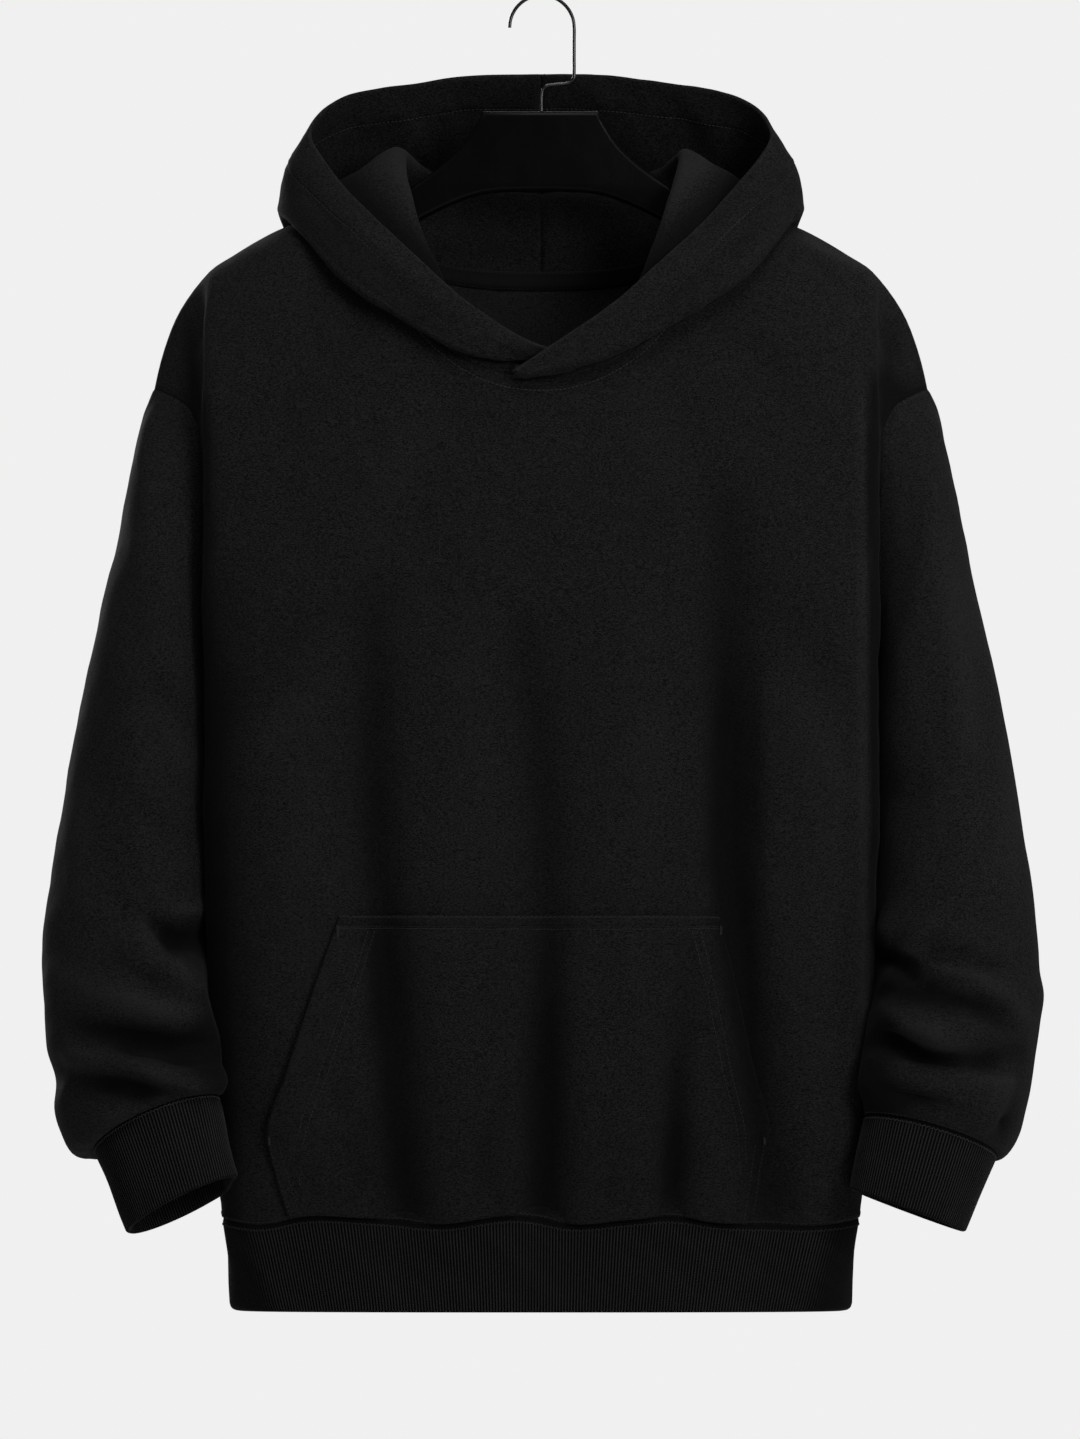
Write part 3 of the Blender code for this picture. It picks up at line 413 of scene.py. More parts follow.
# %% Shell between two grids
HALF_WALL = 1.0
SEAMS = ("top", "foot", "first", "last")
SEAM_DIP, SEAM_DIP_WIDTH, SEAM_KEEP = 0.72, 1.6, 5.0


def linked(name, data):
    """A new object in the scene."""
    made = bpy.data.objects.new(name, data)
    bpy.context.scene.collection.objects.link(made)
    return made


def corners(rows, columns, closed):
    """Row and column of each face's four corners, for a grid."""
    r, c = np.meshgrid(np.arange(rows - 1), np.arange(columns if closed else columns - 1), indexing="ij")
    r, c = r.ravel(), c.ravel()
    return np.stack((r, r, r + 1, r + 1), 1), np.stack((c, c + 1, c + 1, c), 1)


def shell(name, outer, inner, closed=False, cloth=None, hollow=None):
    """A closed wall between two grids of points in millimetres, with a UV map in metres."""
    rows, columns = outer.shape[:2]
    cloth = outer if cloth is None else cloth
    wrapped = np.concatenate((cloth, cloth[:, :1]), axis=1) if closed else cloth
    flat = np.stack((run(wrapped, 1), run(wrapped, 0)), axis=-1) * MM
    r, c = corners(rows, columns, closed)
    sheet = r * columns + c % columns
    below = rows * columns
    lines = [(np.arange(columns + 1 if closed else columns), row) for row in (0, rows - 1)]
    rims, rim_uv = [], []

    def add_rim(ids, uv, first):
        ids[:, 2:] += below
        rims.append(ids if first else ids[:, ::-1])
        rim_uv.append(uv if first else uv[:, ::-1])

    for line, row in lines:
        pairs = np.stack((line[1:], line[:-1], line[:-1], line[1:]), 1)
        add_rim(pairs % columns + row * columns, flat[row, pairs], row == 0)
    for column in () if closed else (0, columns - 1):
        a, b = np.arange(rows - 1), np.arange(1, rows)
        pairs = np.stack((a, b, b, a), 1)
        add_rim(pairs * columns + column, flat[pairs, column], column == 0)
    faces = np.concatenate((sheet, sheet[:, ::-1] + below, *rims))
    uvs = np.concatenate((flat[r, c], flat[r, c][:, ::-1], *rim_uv))
    points = np.concatenate((outer.reshape(-1, 3), inner.reshape(-1, 3)))
    a, b, d = (points[sheet[:, k]] for k in (0, 1, 3))
    out = np.sum(np.cross(b - a, d - a) * (outer - inner).reshape(-1, 3)[sheet[:, 0]])
    if out < 0:
        faces, uvs = faces[:, ::-1], uvs[:, ::-1]
    mesh = bpy.data.meshes.new(name)
    mesh.from_pydata((points * MM).tolist(), [], faces.tolist())
    mesh.uv_layers.new(name="cloth").data.foreach_set("uv", np.ascontiguousarray(uvs).ravel())
    # The painted shade and highlight of each face is stored on its points, for the finish to read.
    if hollow is not None:
        mesh.attributes.new("hollow", "FLOAT", "POINT").data.foreach_set("value", np.concatenate(hollow, axis=None))
    mesh.shade_smooth()
    mesh.validate()
    return linked(name, mesh)


def sheet_of(grid, guide, closed=False, keep=None):
    """Gives a fine grid its wall directions: its own, and the guide's at the seams."""
    normals = normals_of(grid, closed)
    normals *= np.where(np.sum(normals * guide, axis=-1, keepdims=True) < 0, -1, 1)
    if keep is not None:
        normals = unit(mix(normals, guide, keep[..., None]))
    return {"grid": grid, "normals": normals, "half": np.full(grid.shape[:2], HALF_WALL), "closed": closed}


def shaped(sheet, amount):
    """The sheet with its cloth moved out by so much, its normals made again but for those at the seams."""
    grid = sheet["grid"] + sheet["normals"] * amount[..., None]
    normals = normals_of(grid, sheet["closed"])
    normals *= np.where(np.sum(normals * sheet["normals"], axis=-1, keepdims=True) < 0, -1, 1)
    moving = np.clip(np.abs(amount) * 3, 0, 1)[..., None]
    return {**sheet, "grid": grid, "normals": unit(mix(sheet["normals"], normals, moving))}


def wall(name, sheet):
    out = sheet["normals"] * sheet["half"][..., None]
    faces = sheet["grid"] + out, sheet["grid"] - out
    plain = np.zeros(sheet["grid"].shape[:2])
    painted_shadings = sheet.get("hollow", plain), sheet.get("inner_hollow", plain)
    return shell(name, *faces, sheet["closed"], sheet["grid"], painted_shadings)


def dipped(gap):
    """Half the wall beside a seam, where the cloth rolls in to its stitching."""
    return HALF_WALL * (1 - SEAM_DIP * fading(gap, SEAM_DIP_WIDTH))


def rounded_edge(gap, half):
    """Half the wall at a free folded edge."""
    across = np.clip(gap / (1.1 * half), 0, 1)
    return half * np.sqrt(np.clip(1 - (1 - across) ** 2, 0.03, 1))


# %% Fine panels
NEAR_TOP = np.array((0, 0.07, 0.16, 0.3, 0.5, 0.75))
NEAR_FOOT = np.array((*even(10) * 0.85, 0.87, 0.91, 0.945, 0.97, 0.988))
NEAR_SIDE = np.array((0, 0.3, 0.55, 0.72, 0.84, 0.92, 0.97))
PANEL_ROWS = [NEAR_TOP, *[even(9)] * 7, *[even(13)] * 5, NEAR_FOOT]
FAR_SIDE = np.concatenate(([0], 1 - NEAR_SIDE[:0:-1]))
PANEL_COLUMNS = [FAR_SIDE, *[even(4)] * 34, NEAR_SIDE]
row_places, column_places = places_of(PANEL_ROWS), places_of(PANEL_COLUMNS)


def fine_panel(coarse, guide):
    grid = refined(coarse, PANEL_ROWS, PANEL_COLUMNS)
    gap = edge_gaps(grid, SEAMS)
    return sheet_of(grid, unit(refined(guide, PANEL_ROWS, PANEL_COLUMNS)), keep=fading(gap, SEAM_KEEP))


front_guide, back_guide = seam_normals(FRONT, front_coarse), seam_normals(BACK, back_coarse)
print("fine panel:", len(row_places), "rows by", len(column_places), "columns")

# %% [markdown]
# ## Sleeves
# A sleeve is a tube of rings. Its first ring is the armhole, and each later ring runs through a point of the
# arm's outer line and one of its inner line. Slack gathers above the cuff because the cuff is narrower and
# the sleeve's weight rests on it, so the folds are deepest there.

# %% Sizes of the sleeves
SLEEVE_COLUMNS = "ring out_x out_drop in_x in_drop middle_y front back pitch"
SLEEVE_ROWS = (
    (2, 255, 142, 207, 346, 0, 44, 44, 0), (3, 262, 170, 208, 356, 0, 52, 50, 0),
    (4, 269, 206, 208, 368, -1, 56, 53, 0), (6, 283, 272, 207, 394, -4, 58, 55, 2),
    (8, 297, 341, 206, 430, -10, 58, 54, 5), (10, 309, 412, 206, 470, -18, 56, 53, 8),
    (13, 316, 470, 205, 502, -28, 55, 52, 11), (16, 316.5, 510, 204, 530, -37, 54, 51, 14),
    (19, 312, 556, 202, 556, -46, 52, 49, 17), (21, 306, 588, 201, 570, -51, 49, 47, 19),
    (22, 302, 601, 201, 575, -53, 48, 46, 20), (23, 294, 612, 202, 577, -54, 46, 44, 20),
)  # fmt: skip
CUFF_RING, SLEEVE_RINGS = 24, 21
SLEEVE_RIGHT = table(SLEEVE_COLUMNS, *SLEEVE_ROWS, (CUFF_RING, 282, 609, 203, 577, -55, 41, 40, 20))
SLEEVE_LEFT = table(SLEEVE_COLUMNS, *SLEEVE_ROWS, (CUFF_RING, 288, 613, 205, 589, -52, 41, 40, 15))
SLACK = "angle_from angle_to drop_from drop_to width depth"
SLACK_RIGHT = table(
    SLACK,
    (70, 165, 462, 480, 9, -6.5), (60, 190, 486, 514, 12, 7.5), (60, 150, 530, 542, 8, -8.5),
    (40, 190, 548, 572, 9, 6.0), (-30, 110, 560, 566, 9, -6.0), (180, 330, 500, 520, 12, -5.0),
    (190, 340, 548, 560, 9, -5.5), (80, 190, 390, 402, 16, -3.5), (115, 185, 536, 548, 30, 3.0),
)  # fmt: skip
SLACK_LEFT = table(
    SLACK,
    (60, 190, 486, 452, 10, 7.0), (50, 160, 504, 478, 8, -9.0), (-20, 150, 522, 496, 8, 6.0),
    (40, 190, 541, 520, 9, 7.0), (20, 160, 558, 540, 8, -7.0), (60, 175, 574, 566, 9, 3.5),
    (180, 330, 505, 520, 12, -5.0), (190, 340, 556, 562, 9, -5.5), (70, 190, 372, 392, 16, -3.5),
    (115, 185, 546, 556, 26, 3.0),
)  # fmt: skip
SIDE_FROM, SIDE_CLEARANCE, ARMHOLE_CLEARANCE, SIDE_EASE, SIDE_REACH = 12, 3.4, 10.0, 2.0, 5.5
LEAST_MITRE = 0.3


# %% Rings
def slack(gathers, angle, drop):
    span = gathers["angle_to"] - gathers["angle_from"]
    share = ((angle - gathers["angle_from"]) % 360) / span
    line = mix(gathers["drop_from"], gathers["drop_to"], np.clip(share, 0, 1))
    fade = np.where(share <= 1, np.sin(np.pi * np.clip(share, 0, 1)) ** 0.6, 0)
    return float(np.sum(gathers["depth"] * fade * fading(drop - line, gathers["width"])))


def ring_frame(sizes, ring, side):
    at = {name: float(read(sizes, name, ring)) for name in sizes}
    outer = place(side * at["out_x"], at["middle_y"], at["out_drop"])
    inner = place(side * at["in_x"], at["middle_y"], at["in_drop"])
    pitch = math.radians(at["pitch"])
    front = np.array((0, -math.cos(pitch), math.sin(pitch)))
    return (outer + inner) / 2, (outer - inner) / 2, front * at["front"], -front * at["back"]


def ring_points(ring, count, gathers=None):
    centre, out, front, back = ring
    points = []
    for j in range(count):
        angle = 2 * math.pi * j / count
        half = front if math.sin(angle) > 0 else back
        point = centre + out * math.cos(angle) + half * abs(math.sin(angle))
        if gathers is not None:
            point = point + unit(point - centre) * slack(gathers, math.degrees(angle), drop_of(point))
        points.append(point)
    return np.array(points)


def eased(short, ease):
    """How far to move for want of room: all of it, or softly less where there is hardly any want."""
    return short if short > ease else (short + ease) ** 2 / (4 * ease)


def side_triangles(panel, side):
    found = []
    for upper, lower in zip(panel[1:-1], panel[2:]):
        for column in range(SIDE_FROM, SEAM_COLUMN):
            a, b = (SEAM_COLUMN + side * c for c in (column, column + 1))
            found += [(upper[a], upper[b], lower[b]), (upper[a], lower[b], lower[a])]
    return np.array(found)


def side_reach(triangles, side, y, z):
    """How far out the body's side is at a place, or 0 beyond it."""
    a, b, c = (triangles[:, k, 1:] for k in range(3))
    u, v, w = b - a, c - a, np.array((y, z)) - a
    area = u[:, 0] * v[:, 1] - u[:, 1] * v[:, 0]
    area = np.where(np.abs(area) < 1e-9, 1e-9, area)
    s = (w[:, 0] * v[:, 1] - w[:, 1] * v[:, 0]) / area
    t = (u[:, 0] * w[:, 1] - u[:, 1] * w[:, 0]) / area
    inside = (s > -0.01) & (t > -0.01) & (s + t < 1.01)
    x = triangles[:, :, 0] * side
    surface = x[:, 0] * (1 - s - t) + x[:, 1] * s + x[:, 2] * t
    return float(surface[inside].max()) if inside.any() else 0.0


def kept_off(points, triangles, side, clearance):
    """Points moved out in x, where they lie beside the body, to stay clear of its side."""
    moved = points.copy()
    for point in moved:
        beside = (point[1] - SIDE_REACH, point[1], point[1] + SIDE_REACH)
        short = max(side_reach(triangles, side, y, point[2]) for y in beside) + clearance - point[0] * side
        if short > -SIDE_EASE:
            point[0] += side * eased(short, SIDE_EASE)
    return moved


# %% Coarse sleeves, and one edge direction for both sides of the armhole
def armhole_rows():
    """Panel, wall directions and row of each point round the armhole: down the front and up the back."""
    around = [(front_coarse, front_guide, row) for row in range(UNDERARM_ROW + 1)]
    return around + [(back_coarse, back_guide, row) for row in range(UNDERARM_ROW - 1, 0, -1)]


def coarse_sleeve(sizes, gathers, side):
    armhole = [panel[row, SEAM_COLUMN * (1 + side)] for panel, _, row in armhole_rows()]
    count = len(armhole)
    rings = [np.array(armhole)]
    rings.append(mix(rings[0], ring_points(ring_frame(sizes, sizes["ring"][0], side), count), 0.42))
    for ring in np.linspace(2, CUFF_RING, SLEEVE_RINGS):
        used = gathers if 2 < ring < CUFF_RING else None
        rings.append(ring_points(ring_frame(sizes, ring, side), count, used))
    triangles = np.vstack((side_triangles(front_coarse, side), side_triangles(back_coarse, side)))
    for k in range(1, len(rings)):
        clearance = mix(ARMHOLE_CLEARANCE, SIDE_CLEARANCE, min(k / 5, 1))
        rings[k] = kept_off(rings[k], triangles, side, clearance)
    grid = np.array(rings)
    normals = normals_of(grid, closed=True)
    centres = grid.mean(axis=1)[:, None, :]
    normals *= np.sign(np.sum(normals * (grid - centres), axis=(1, 2)))[:, None, None]
    normals[-1] = unit(grid[-1] - grid[-1].mean(axis=0))
    return grid, normals


def share_armhole(grid, normals, side):
    j = SEAM_COLUMN * (1 + side)
    ring = grid[0]
    for k, (panel, guide, row) in enumerate(armhole_rows()):
        along = unit(ring[(k + 1) % len(ring)] - ring[k - 1])
        beside, face = panel[row, j - side], guide[row, j - side]
        if row == UNDERARM_ROW:
            beside, face = panel[row + 1, j], np.array((side, 0, 0))
        ways = [unit(away - along * np.dot(away, along)) for away in (beside - ring[k], grid[1][k] - ring[k])]
        mitre = unit(face + normals[1][k] + ways[0] + ways[1])
        mitre = mitre / max(np.dot(mitre, face), LEAST_MITRE)
        normals[0][k] = mitre
        for shared in (front_guide, back_guide) if row in (0, UNDERARM_ROW) else (guide,):
            shared[row, j] = mitre


sleeves = {}
for name, side, sizes, gathers in (
    ("sleeve_right", -1, SLEEVE_RIGHT, SLACK_RIGHT),
    ("sleeve_left", 1, SLEEVE_LEFT, SLACK_LEFT),
):
    sleeves[name] = coarse_sleeve(sizes, gathers, side)
    share_armhole(*sleeves[name], side)
front, back = fine_panel(front_coarse, front_guide), fine_panel(back_coarse, back_guide)
print("sleeve rings:", len(sleeves["sleeve_left"][0]))


# %% Fine sleeves, pinned to the panels' armholes
NEAR_ARMHOLE = np.array((0, 0.1, 0.24, 0.42, 0.7))
NEAR_CUFF = np.array((0, 0.2, 0.4, 0.58, 0.74, 0.86, 0.94, 0.98))
SLEEVE_FINE_ROWS = [NEAR_ARMHOLE, *[even(6)] * 20, NEAR_CUFF]
SLEEVE_PIN_REACH = 26.0


def pinned(grid, line, reach):
    """A grid whose first row is moved onto a line, and the rows after it ever less."""
    return grid + (line - grid[:1]) * fading(run(grid, 0), reach)[..., None]


def fine_sleeve(name, side):
    coarse, guide = sleeves[name]
    steps = [even(9)] * coarse.shape[1]
    grid = refined(coarse, SLEEVE_FINE_ROWS, steps, closed=True)
    at = places_of(steps)[:-1]
    j = -1 if side > 0 else 0
    rows = at, 2 * UNDERARM_ROW - at
    edge = [on_line(panel["grid"][:, j], row_places, row) for panel, row in zip((front, back), rows)]
    grid = pinned(grid, np.where(at[:, None] <= UNDERARM_ROW, *edge), SLEEVE_PIN_REACH)
    guide = unit(refined(guide, SLEEVE_FINE_ROWS, steps, closed=True))
    gap = edge_gaps(grid, ("top", "foot"))
    return sheet_of(grid, guide, closed=True, keep=fading(gap, SEAM_KEEP)), gap


right_sleeve, right_gap = fine_sleeve("sleeve_right", -1)
left_sleeve, left_gap = fine_sleeve("sleeve_left", 1)
print("fine sleeve:", right_sleeve["grid"].shape[:2])

# %% [markdown]
# ## Creases
# Each visible crease is one line of x and drop pairs with a depth and a width, so it can be compared with
# the real cloth and corrected by itself. Cloth gathers where it is held or where its weight rests: below
# the armholes, beside the pocket and above the cuffs.

# %% Creases of the panels and sleeves
FRONT_FOLDS = (
    (1.6, 20, 0.0, (-150, 330), (-148, 470), (-152, 600)),
    (1.3, 18, 0.0, (-43, 270), (-44, 450)),
    (1.5, 17, 0.3, (65, 262), (66, 450)),
    (-10.5, 15.5, 0.1, (114, 208), (118, 290), (120, 356), (119, 425), (125, 485), (134, 560), (144, 650),
     (152, 760)),
    (-7.5, 14, 0.1, (-106, 266), (-106, 356), (-104, 419), (-98, 476), (-92, 540), (-86, 650), (-80, 840)),
    (-7.0, 13.5, 0.1, (-11, 288), (-4, 345), (1, 400), (3, 476), (0, 560), (1, 650), (1, 850)),
    (-5.0, 9, 0.2, (89, 490), (86, 540), (84, 600), (82, 650), (81, 760)),
    (1.4, 9, 0.4, (140, 300), (143, 400), (144, 460)),
    (1.2, 16, 0.0, (179, 330), (178, 600)),
    (-1.4, 13, 0.3, (-196, 330), (-170, 300), (-140, 262)),
    (1.2, 14, 0.0, (-188, 372), (-150, 330), (-118, 300)),
    (-1.4, 13, 0.3, (196, 338), (172, 296), (150, 262)),
    (1.2, 12, 0.0, (190, 380), (166, 340), (140, 318)),
    (-1.1, 12, 0.0, (-205, 420), (-190, 500), (-196, 580)),
    (-1.2, 11, 0.2, (200, 430), (187, 520), (190, 600)),
    (-1.0, 16, 0.0, (-95, 52), (-130, 100), (-160, 150)),
    (-1.0, 16, 0.0, (95, 52), (130, 95), (166, 140)),
    (0.9, 13, 0.0, (-60, 118), (-92, 180), (-110, 240)),
    (0.9, 13, 0.0, (54, 120), (90, 186), (104, 236)),
    (-0.9, 7, 0.3, (-120, 620), (-123, 650)), (-0.9, 6, 0.3, (-30, 622), (-28, 652)),
    (-0.8, 7, 0.3, (40, 618), (43, 652)), (0.9, 8, 0.3, (115, 600), (116, 650)),
)  # fmt: skip
BACK_FOLDS = (
    (1.5, 22, 0.0, (-150, 300), (-146, 470), (-150, 610)), (1.3, 18, 0.0, (-58, 260), (-52, 500)),
    (-6.5, 15, 0.2, (-122, 260), (-110, 400), (-98, 650)), (1.4, 17, 0.2, (38, 290), (44, 520)),
    (-7.0, 14, 0.2, (96, 240), (87, 400), (84, 650)), (1.3, 16, 0.0, (140, 330), (136, 560)),
    (-5.5, 14, 0.1, (-24, 320), (-14, 450), (-8, 650)),
    (-1.4, 14, 0.2, (196, 335), (150, 290), (100, 272)), (1.2, 13, 0.1, (188, 372), (146, 338), (108, 330)),
    (-1.4, 14, 0.2, (-196, 335), (-156, 296), (-112, 276)), (1.1, 13, 0.0, (-190, 380), (-150, 344), (-120, 338)),
    (-0.9, 18, 0.0, (-92, 60), (-140, 96), (-176, 150)), (-0.9, 18, 0.0, (92, 60), (136, 100), (180, 160)),
    (-0.9, 7, 0.3, (-130, 618), (-128, 652)), (-1.0, 6, 0.3, (-60, 620), (-62, 652)),
    (-0.9, 7, 0.3, (10, 618), (12, 652)), (-1.2, 7, 0.4, (120, 606), (122, 652)),
)  # fmt: skip
SLEEVE_RIGHT_FOLDS = (
    (-2.2, 10, 0.2, (-250, 305), (-228, 335), (-205, 362)), (1.6, 12, 0.0, (-244, 330), (-218, 372)),
    (-1.8, 9, 0.2, (-262, 384), (-232, 408), (-206, 420)), (1.4, 14, 0.0, (-300, 380), (-288, 450)),
    (-1.6, 14, 0.0, (-285, 300), (-272, 380), (-268, 440)),
    (-7.5, 8, 0.4, (-200, 470), (-216, 476), (-232, 478), (-244, 470)),
    (3.4, 6, 0.5, (-202, 454), (-222, 458), (-240, 460)),
    (5.0, 6, 0.7, (-254, 460), (-250, 474), (-236, 488), (-209, 512)),
    (-3.6, 8, 0.4, (-272, 478), (-256, 494), (-234, 508)),
    (4.2, 10, 0.3, (-308, 497), (-268, 510), (-207, 528)),
    (-4.6, 8, 0.3, (-296, 530), (-262, 534), (-230, 540), (-206, 540)),
    (4.8, 6, 0.7, (-262, 550), (-248, 556), (-232, 562), (-203, 573)),
    (-6.5, 6, 0.5, (-262, 543), (-240, 545), (-206, 553)),
    (-5.5, 7, 0.4, (-294, 562), (-260, 566), (-226, 572)),
    (3.2, 6, 0.5, (-304, 545), (-282, 550), (-264, 556)), (2.6, 5, 0.5, (-280, 588), (-246, 582), (-214, 582)),
)  # fmt: skip
SLEEVE_LEFT_FOLDS = (
    (2.2, 13, 0.3, (258, 235), (264, 300), (269, 356)), (-1.9, 11, 0.2, (246, 250), (250, 310), (252, 360)),
    (-1.8, 9, 0.2, (206, 392), (232, 384), (258, 366)), (1.5, 13, 0.0, (300, 360), (296, 440)),
    (-1.6, 12, 0.1, (284, 300), (282, 400)),
    (4.6, 6, 0.7, (213, 448), (213, 466), (220, 475), (235, 482), (247, 494)),
    (-8.0, 7, 0.5, (206, 482), (220, 490), (238, 500), (256, 500)),
    (5.0, 6, 0.7, (206, 497), (240, 496), (264, 498), (287, 508), (305, 527)),
    (-5.0, 8, 0.4, (222, 508), (250, 510), (278, 520), (296, 532)),
    (5.2, 6, 0.7, (210, 514), (226, 528), (254, 538), (272, 541)),
    (-8.0, 6, 0.6, (206, 530), (220, 537), (238, 548), (256, 552)),
    (-3.6, 8, 0.3, (264, 556), (286, 550), (308, 545)),
    (4.6, 6, 0.7, (210, 552), (254, 557), (290, 566), (281, 588), (270, 600)),
    (-5.0, 6, 0.5, (208, 566), (232, 573), (258, 580)), (-4.2, 6, 0.5, (294, 582), (286, 600)),
    (2.4, 6, 0.4, (214, 584), (240, 590), (262, 600)),
)  # fmt: skip
SLEEVE_BACK_FOLDS = (
    (-2.0, 11, 0.2, (206, 370), (240, 350), (270, 330)), (1.8, 13, 0.0, (262, 250), (272, 380)),
    (-5.6, 7, 0.4, (206, 470), (236, 480), (262, 474)), (4.4, 9, 0.5, (206, 496), (250, 506), (300, 496)),
    (-5.2, 7, 0.4, (300, 520), (266, 530), (228, 526)), (4.4, 7, 0.6, (208, 546), (250, 552), (298, 560)),
    (-5.6, 6, 0.5, (206, 562), (236, 568), (270, 566)), (3.0, 6, 0.5, (222, 582), (256, 590), (284, 586)),
)  # fmt: skip


# %% [markdown]
# ## Shade in the folds
# Shade is painted into the nap's colour, darkest deep in a fold, where the cloth beside it hides the light,
# and a highlight is painted lighter on a fold's top. How deep each point lies is stored on the mesh, for the
# finish to read. Some places get more painted shade than their own folds give, such as the cloth behind a
# sleeve. These painted shades are drawn like folds, but don't move the cloth.

# %% Shades
FRONT_SHADE = (
    (-9.0, 5.5, 0.25, (-226, 84), (-223.5, 102), (-221, 120), (-218.5, 138), (-214, 180), (-211, 230)),
    (-7.5, 7.0, 0.25, (225, 86), (222, 104), (220, 122), (217, 140), (213, 180), (210, 225)),
)
SLEEVE_RIGHT_SHADE = (
    (-6.0, 11, 0.2, (-242, 476), (-226, 480), (-206, 486)), (-5.5, 10, 0.2, (-246, 544), (-226, 540), (-205, 532)),
    (-4.5, 9, 0.2, (-290, 568), (-258, 568), (-228, 568)), (-3.5, 9, 0.0, (-300, 524), (-276, 534), (-250, 538)),
)  # fmt: skip
SLEEVE_LEFT_SHADE = (
    (-7.0, 10, 0.2, (205, 484), (224, 488), (244, 496)), (-4.5, 8, 0.2, (210, 506), (240, 509), (274, 512)),
    (-7.0, 7, 0.2, (206, 530), (216, 533), (226, 538)), (-4.5, 8, 0.2, (210, 549), (244, 551), (280, 553)),
    (-5.5, 10, 0.1, (204, 568), (216, 574), (232, 580)), (-5.0, 7, 0.3, (296, 570), (288, 584), (280, 600)),
)  # fmt: skip


# %% Creased cloth
# Close to a seam the cloth is held still, and beside its lower seam it swells a little over the stitching.
HEM_ROLL, HEM_ROLL_AT, HEM_ROLL_WIDTH, SEAM_HOLD = 0.7, 3.6, 2.0, 7.0


def facing(sheet, way):
    """1 where the cloth faces the front (-1) or the back (1), 0 where it faces away."""
    return np.clip(sheet["normals"][..., 1] * way * 1.6, 0, 1)


def painted_shading_of(amount, deepest):
    """1 deep in a fold, where shade is painted darker, and -1 on a fold's top, where a highlight is painted
    lighter.
    """
    return np.clip(-amount / np.where(amount < 0, deepest, 0.7 * deepest), -1, 1)


def creased(sheet, gap, front_lines, back_lines, seed, deepest=7.0, shade=()):
    """The sheet with its folds, and with how deep in a fold each point lies, for its painted shade and highlight.
    """
    grid = sheet["grid"]
    amount = folds(grid, front_lines) * facing(sheet, -1) + folds(grid, back_lines) * facing(sheet, 1)
    hollow = painted_shading_of(amount + folds(grid, shade) * facing(sheet, -1), deepest)
    amount = (amount + uneven(grid, gap, seed, 70, 24, 0.16)) * (1 - fading(gap, SEAM_HOLD))
    foot = edge_gaps(grid, ("foot",))
    made = shaped(sheet, amount + HEM_ROLL * fading(foot - HEM_ROLL_AT, HEM_ROLL_WIDTH))
    return {**made, "hollow": hollow, "half": dipped(gap)}


def mirrored(lines):
    return [(*line[:3], *[(-x, drop) for x, drop in line[3:]]) for line in lines]


front = creased(front, edge_gaps(front["grid"], SEAMS), FRONT_FOLDS, (), 11, 9.0)
back = creased(back, edge_gaps(back["grid"], SEAMS), (), BACK_FOLDS, 21, 9.0)
right_lines, left_lines = (SLEEVE_RIGHT_FOLDS, mirrored(SLEEVE_BACK_FOLDS)), (SLEEVE_LEFT_FOLDS, SLEEVE_BACK_FOLDS)
right_sleeve = creased(right_sleeve, right_gap, *right_lines, 31, shade=SLEEVE_RIGHT_SHADE)
left_sleeve = creased(left_sleeve, left_gap, *left_lines, 41, shade=SLEEVE_LEFT_SHADE)


def add_painted_shade(sheet, amount):
    """Adds painted shade to a sheet's outer face, and a painted highlight where the amount is negative."""
    sheet["hollow"] = np.clip(sheet["hollow"] + amount, -1, 1)


def shade_beside(sheet, side, edge, width, strength, start=210, grow=120):
    """Paints shade onto a sheet beside the body's side, below a start, or a highlight if the strength is negative.
    A negative width shades inward from the edge.
    """
    out = sheet["grid"][..., 0] * side
    past = edge - out if width < 0 else out - edge
    add_painted_shade(sheet, strength * fading(np.clip(past, 0, None), width) * rising(drop_of(sheet["grid"]), start, grow))


# Painted shadow where a sleeve hides the body's side and the sleeve's inner edge from the light, and a painted
# highlight just inside the front's edge beside the left sleeve.
for shade in (
    (front, -1, 209, -23, 1.1), (front, -1, 215, -6, 1.2, 120, 40),
    (front, 1, 203, -3, -0.6, 110, 30), (front, 1, 210.5, -4, 2.2, 110, 30),
    (back, -1, 209, -14, 0.5), (back, 1, 209, -14, 0.5),
    (right_sleeve, -1, 206, 12, 1.0), (left_sleeve, 1, 206, 16, 1.15),
):  # fmt: skip
    shade_beside(*shade)
# Shade is painted onto the front where it turns back behind a sleeve. High up, the sleeves get a painted
# highlight, and so does the inside of the back, as painted light that comes in through the neck.
turned_under = rising(-front["grid"][..., 1], -20, 12)
add_painted_shade(front, turned_under * painted_shading_of(folds(front["grid"], FRONT_SHADE), 8.0))
for sheet, lighter in ((right_sleeve, 0.12), (left_sleeve, 0.2)):
    sheet["hollow"] = sheet["hollow"] - lighter * rising(-drop_of(sheet["grid"]), -460, 80)
back["inner_hollow"] = -0.8 * np.clip(1 - drop_of(back["grid"]) / 180, 0, 1)
print("folds on the front:", len(FRONT_FOLDS), "and on the back:", len(BACK_FOLDS))

# %% Make the panels and sleeves
cloth = {
    "front_panel": wall("front_panel_cloth", front),
    "back_panel": wall("back_panel_cloth", back),
    "sleeve_right": wall("sleeve_right_cloth", right_sleeve),
    "sleeve_left": wall("sleeve_left_cloth", left_sleeve),
}
print("faces so far:", sum(len(piece.data.polygons) for piece in cloth.values()))

# %% [markdown]
# ## Hood
# The hood is cut as two halves with a seam down the middle of the back, and its foot is sewn to the neck.
# It stands up a little at the neck, rolls over and hangs down the back as a bag, and its front edges cross
# at the throat. Each place along the neck seam has one profile: up the stand, over the roll, down to the
# lowest fold and up to the opening's edge.

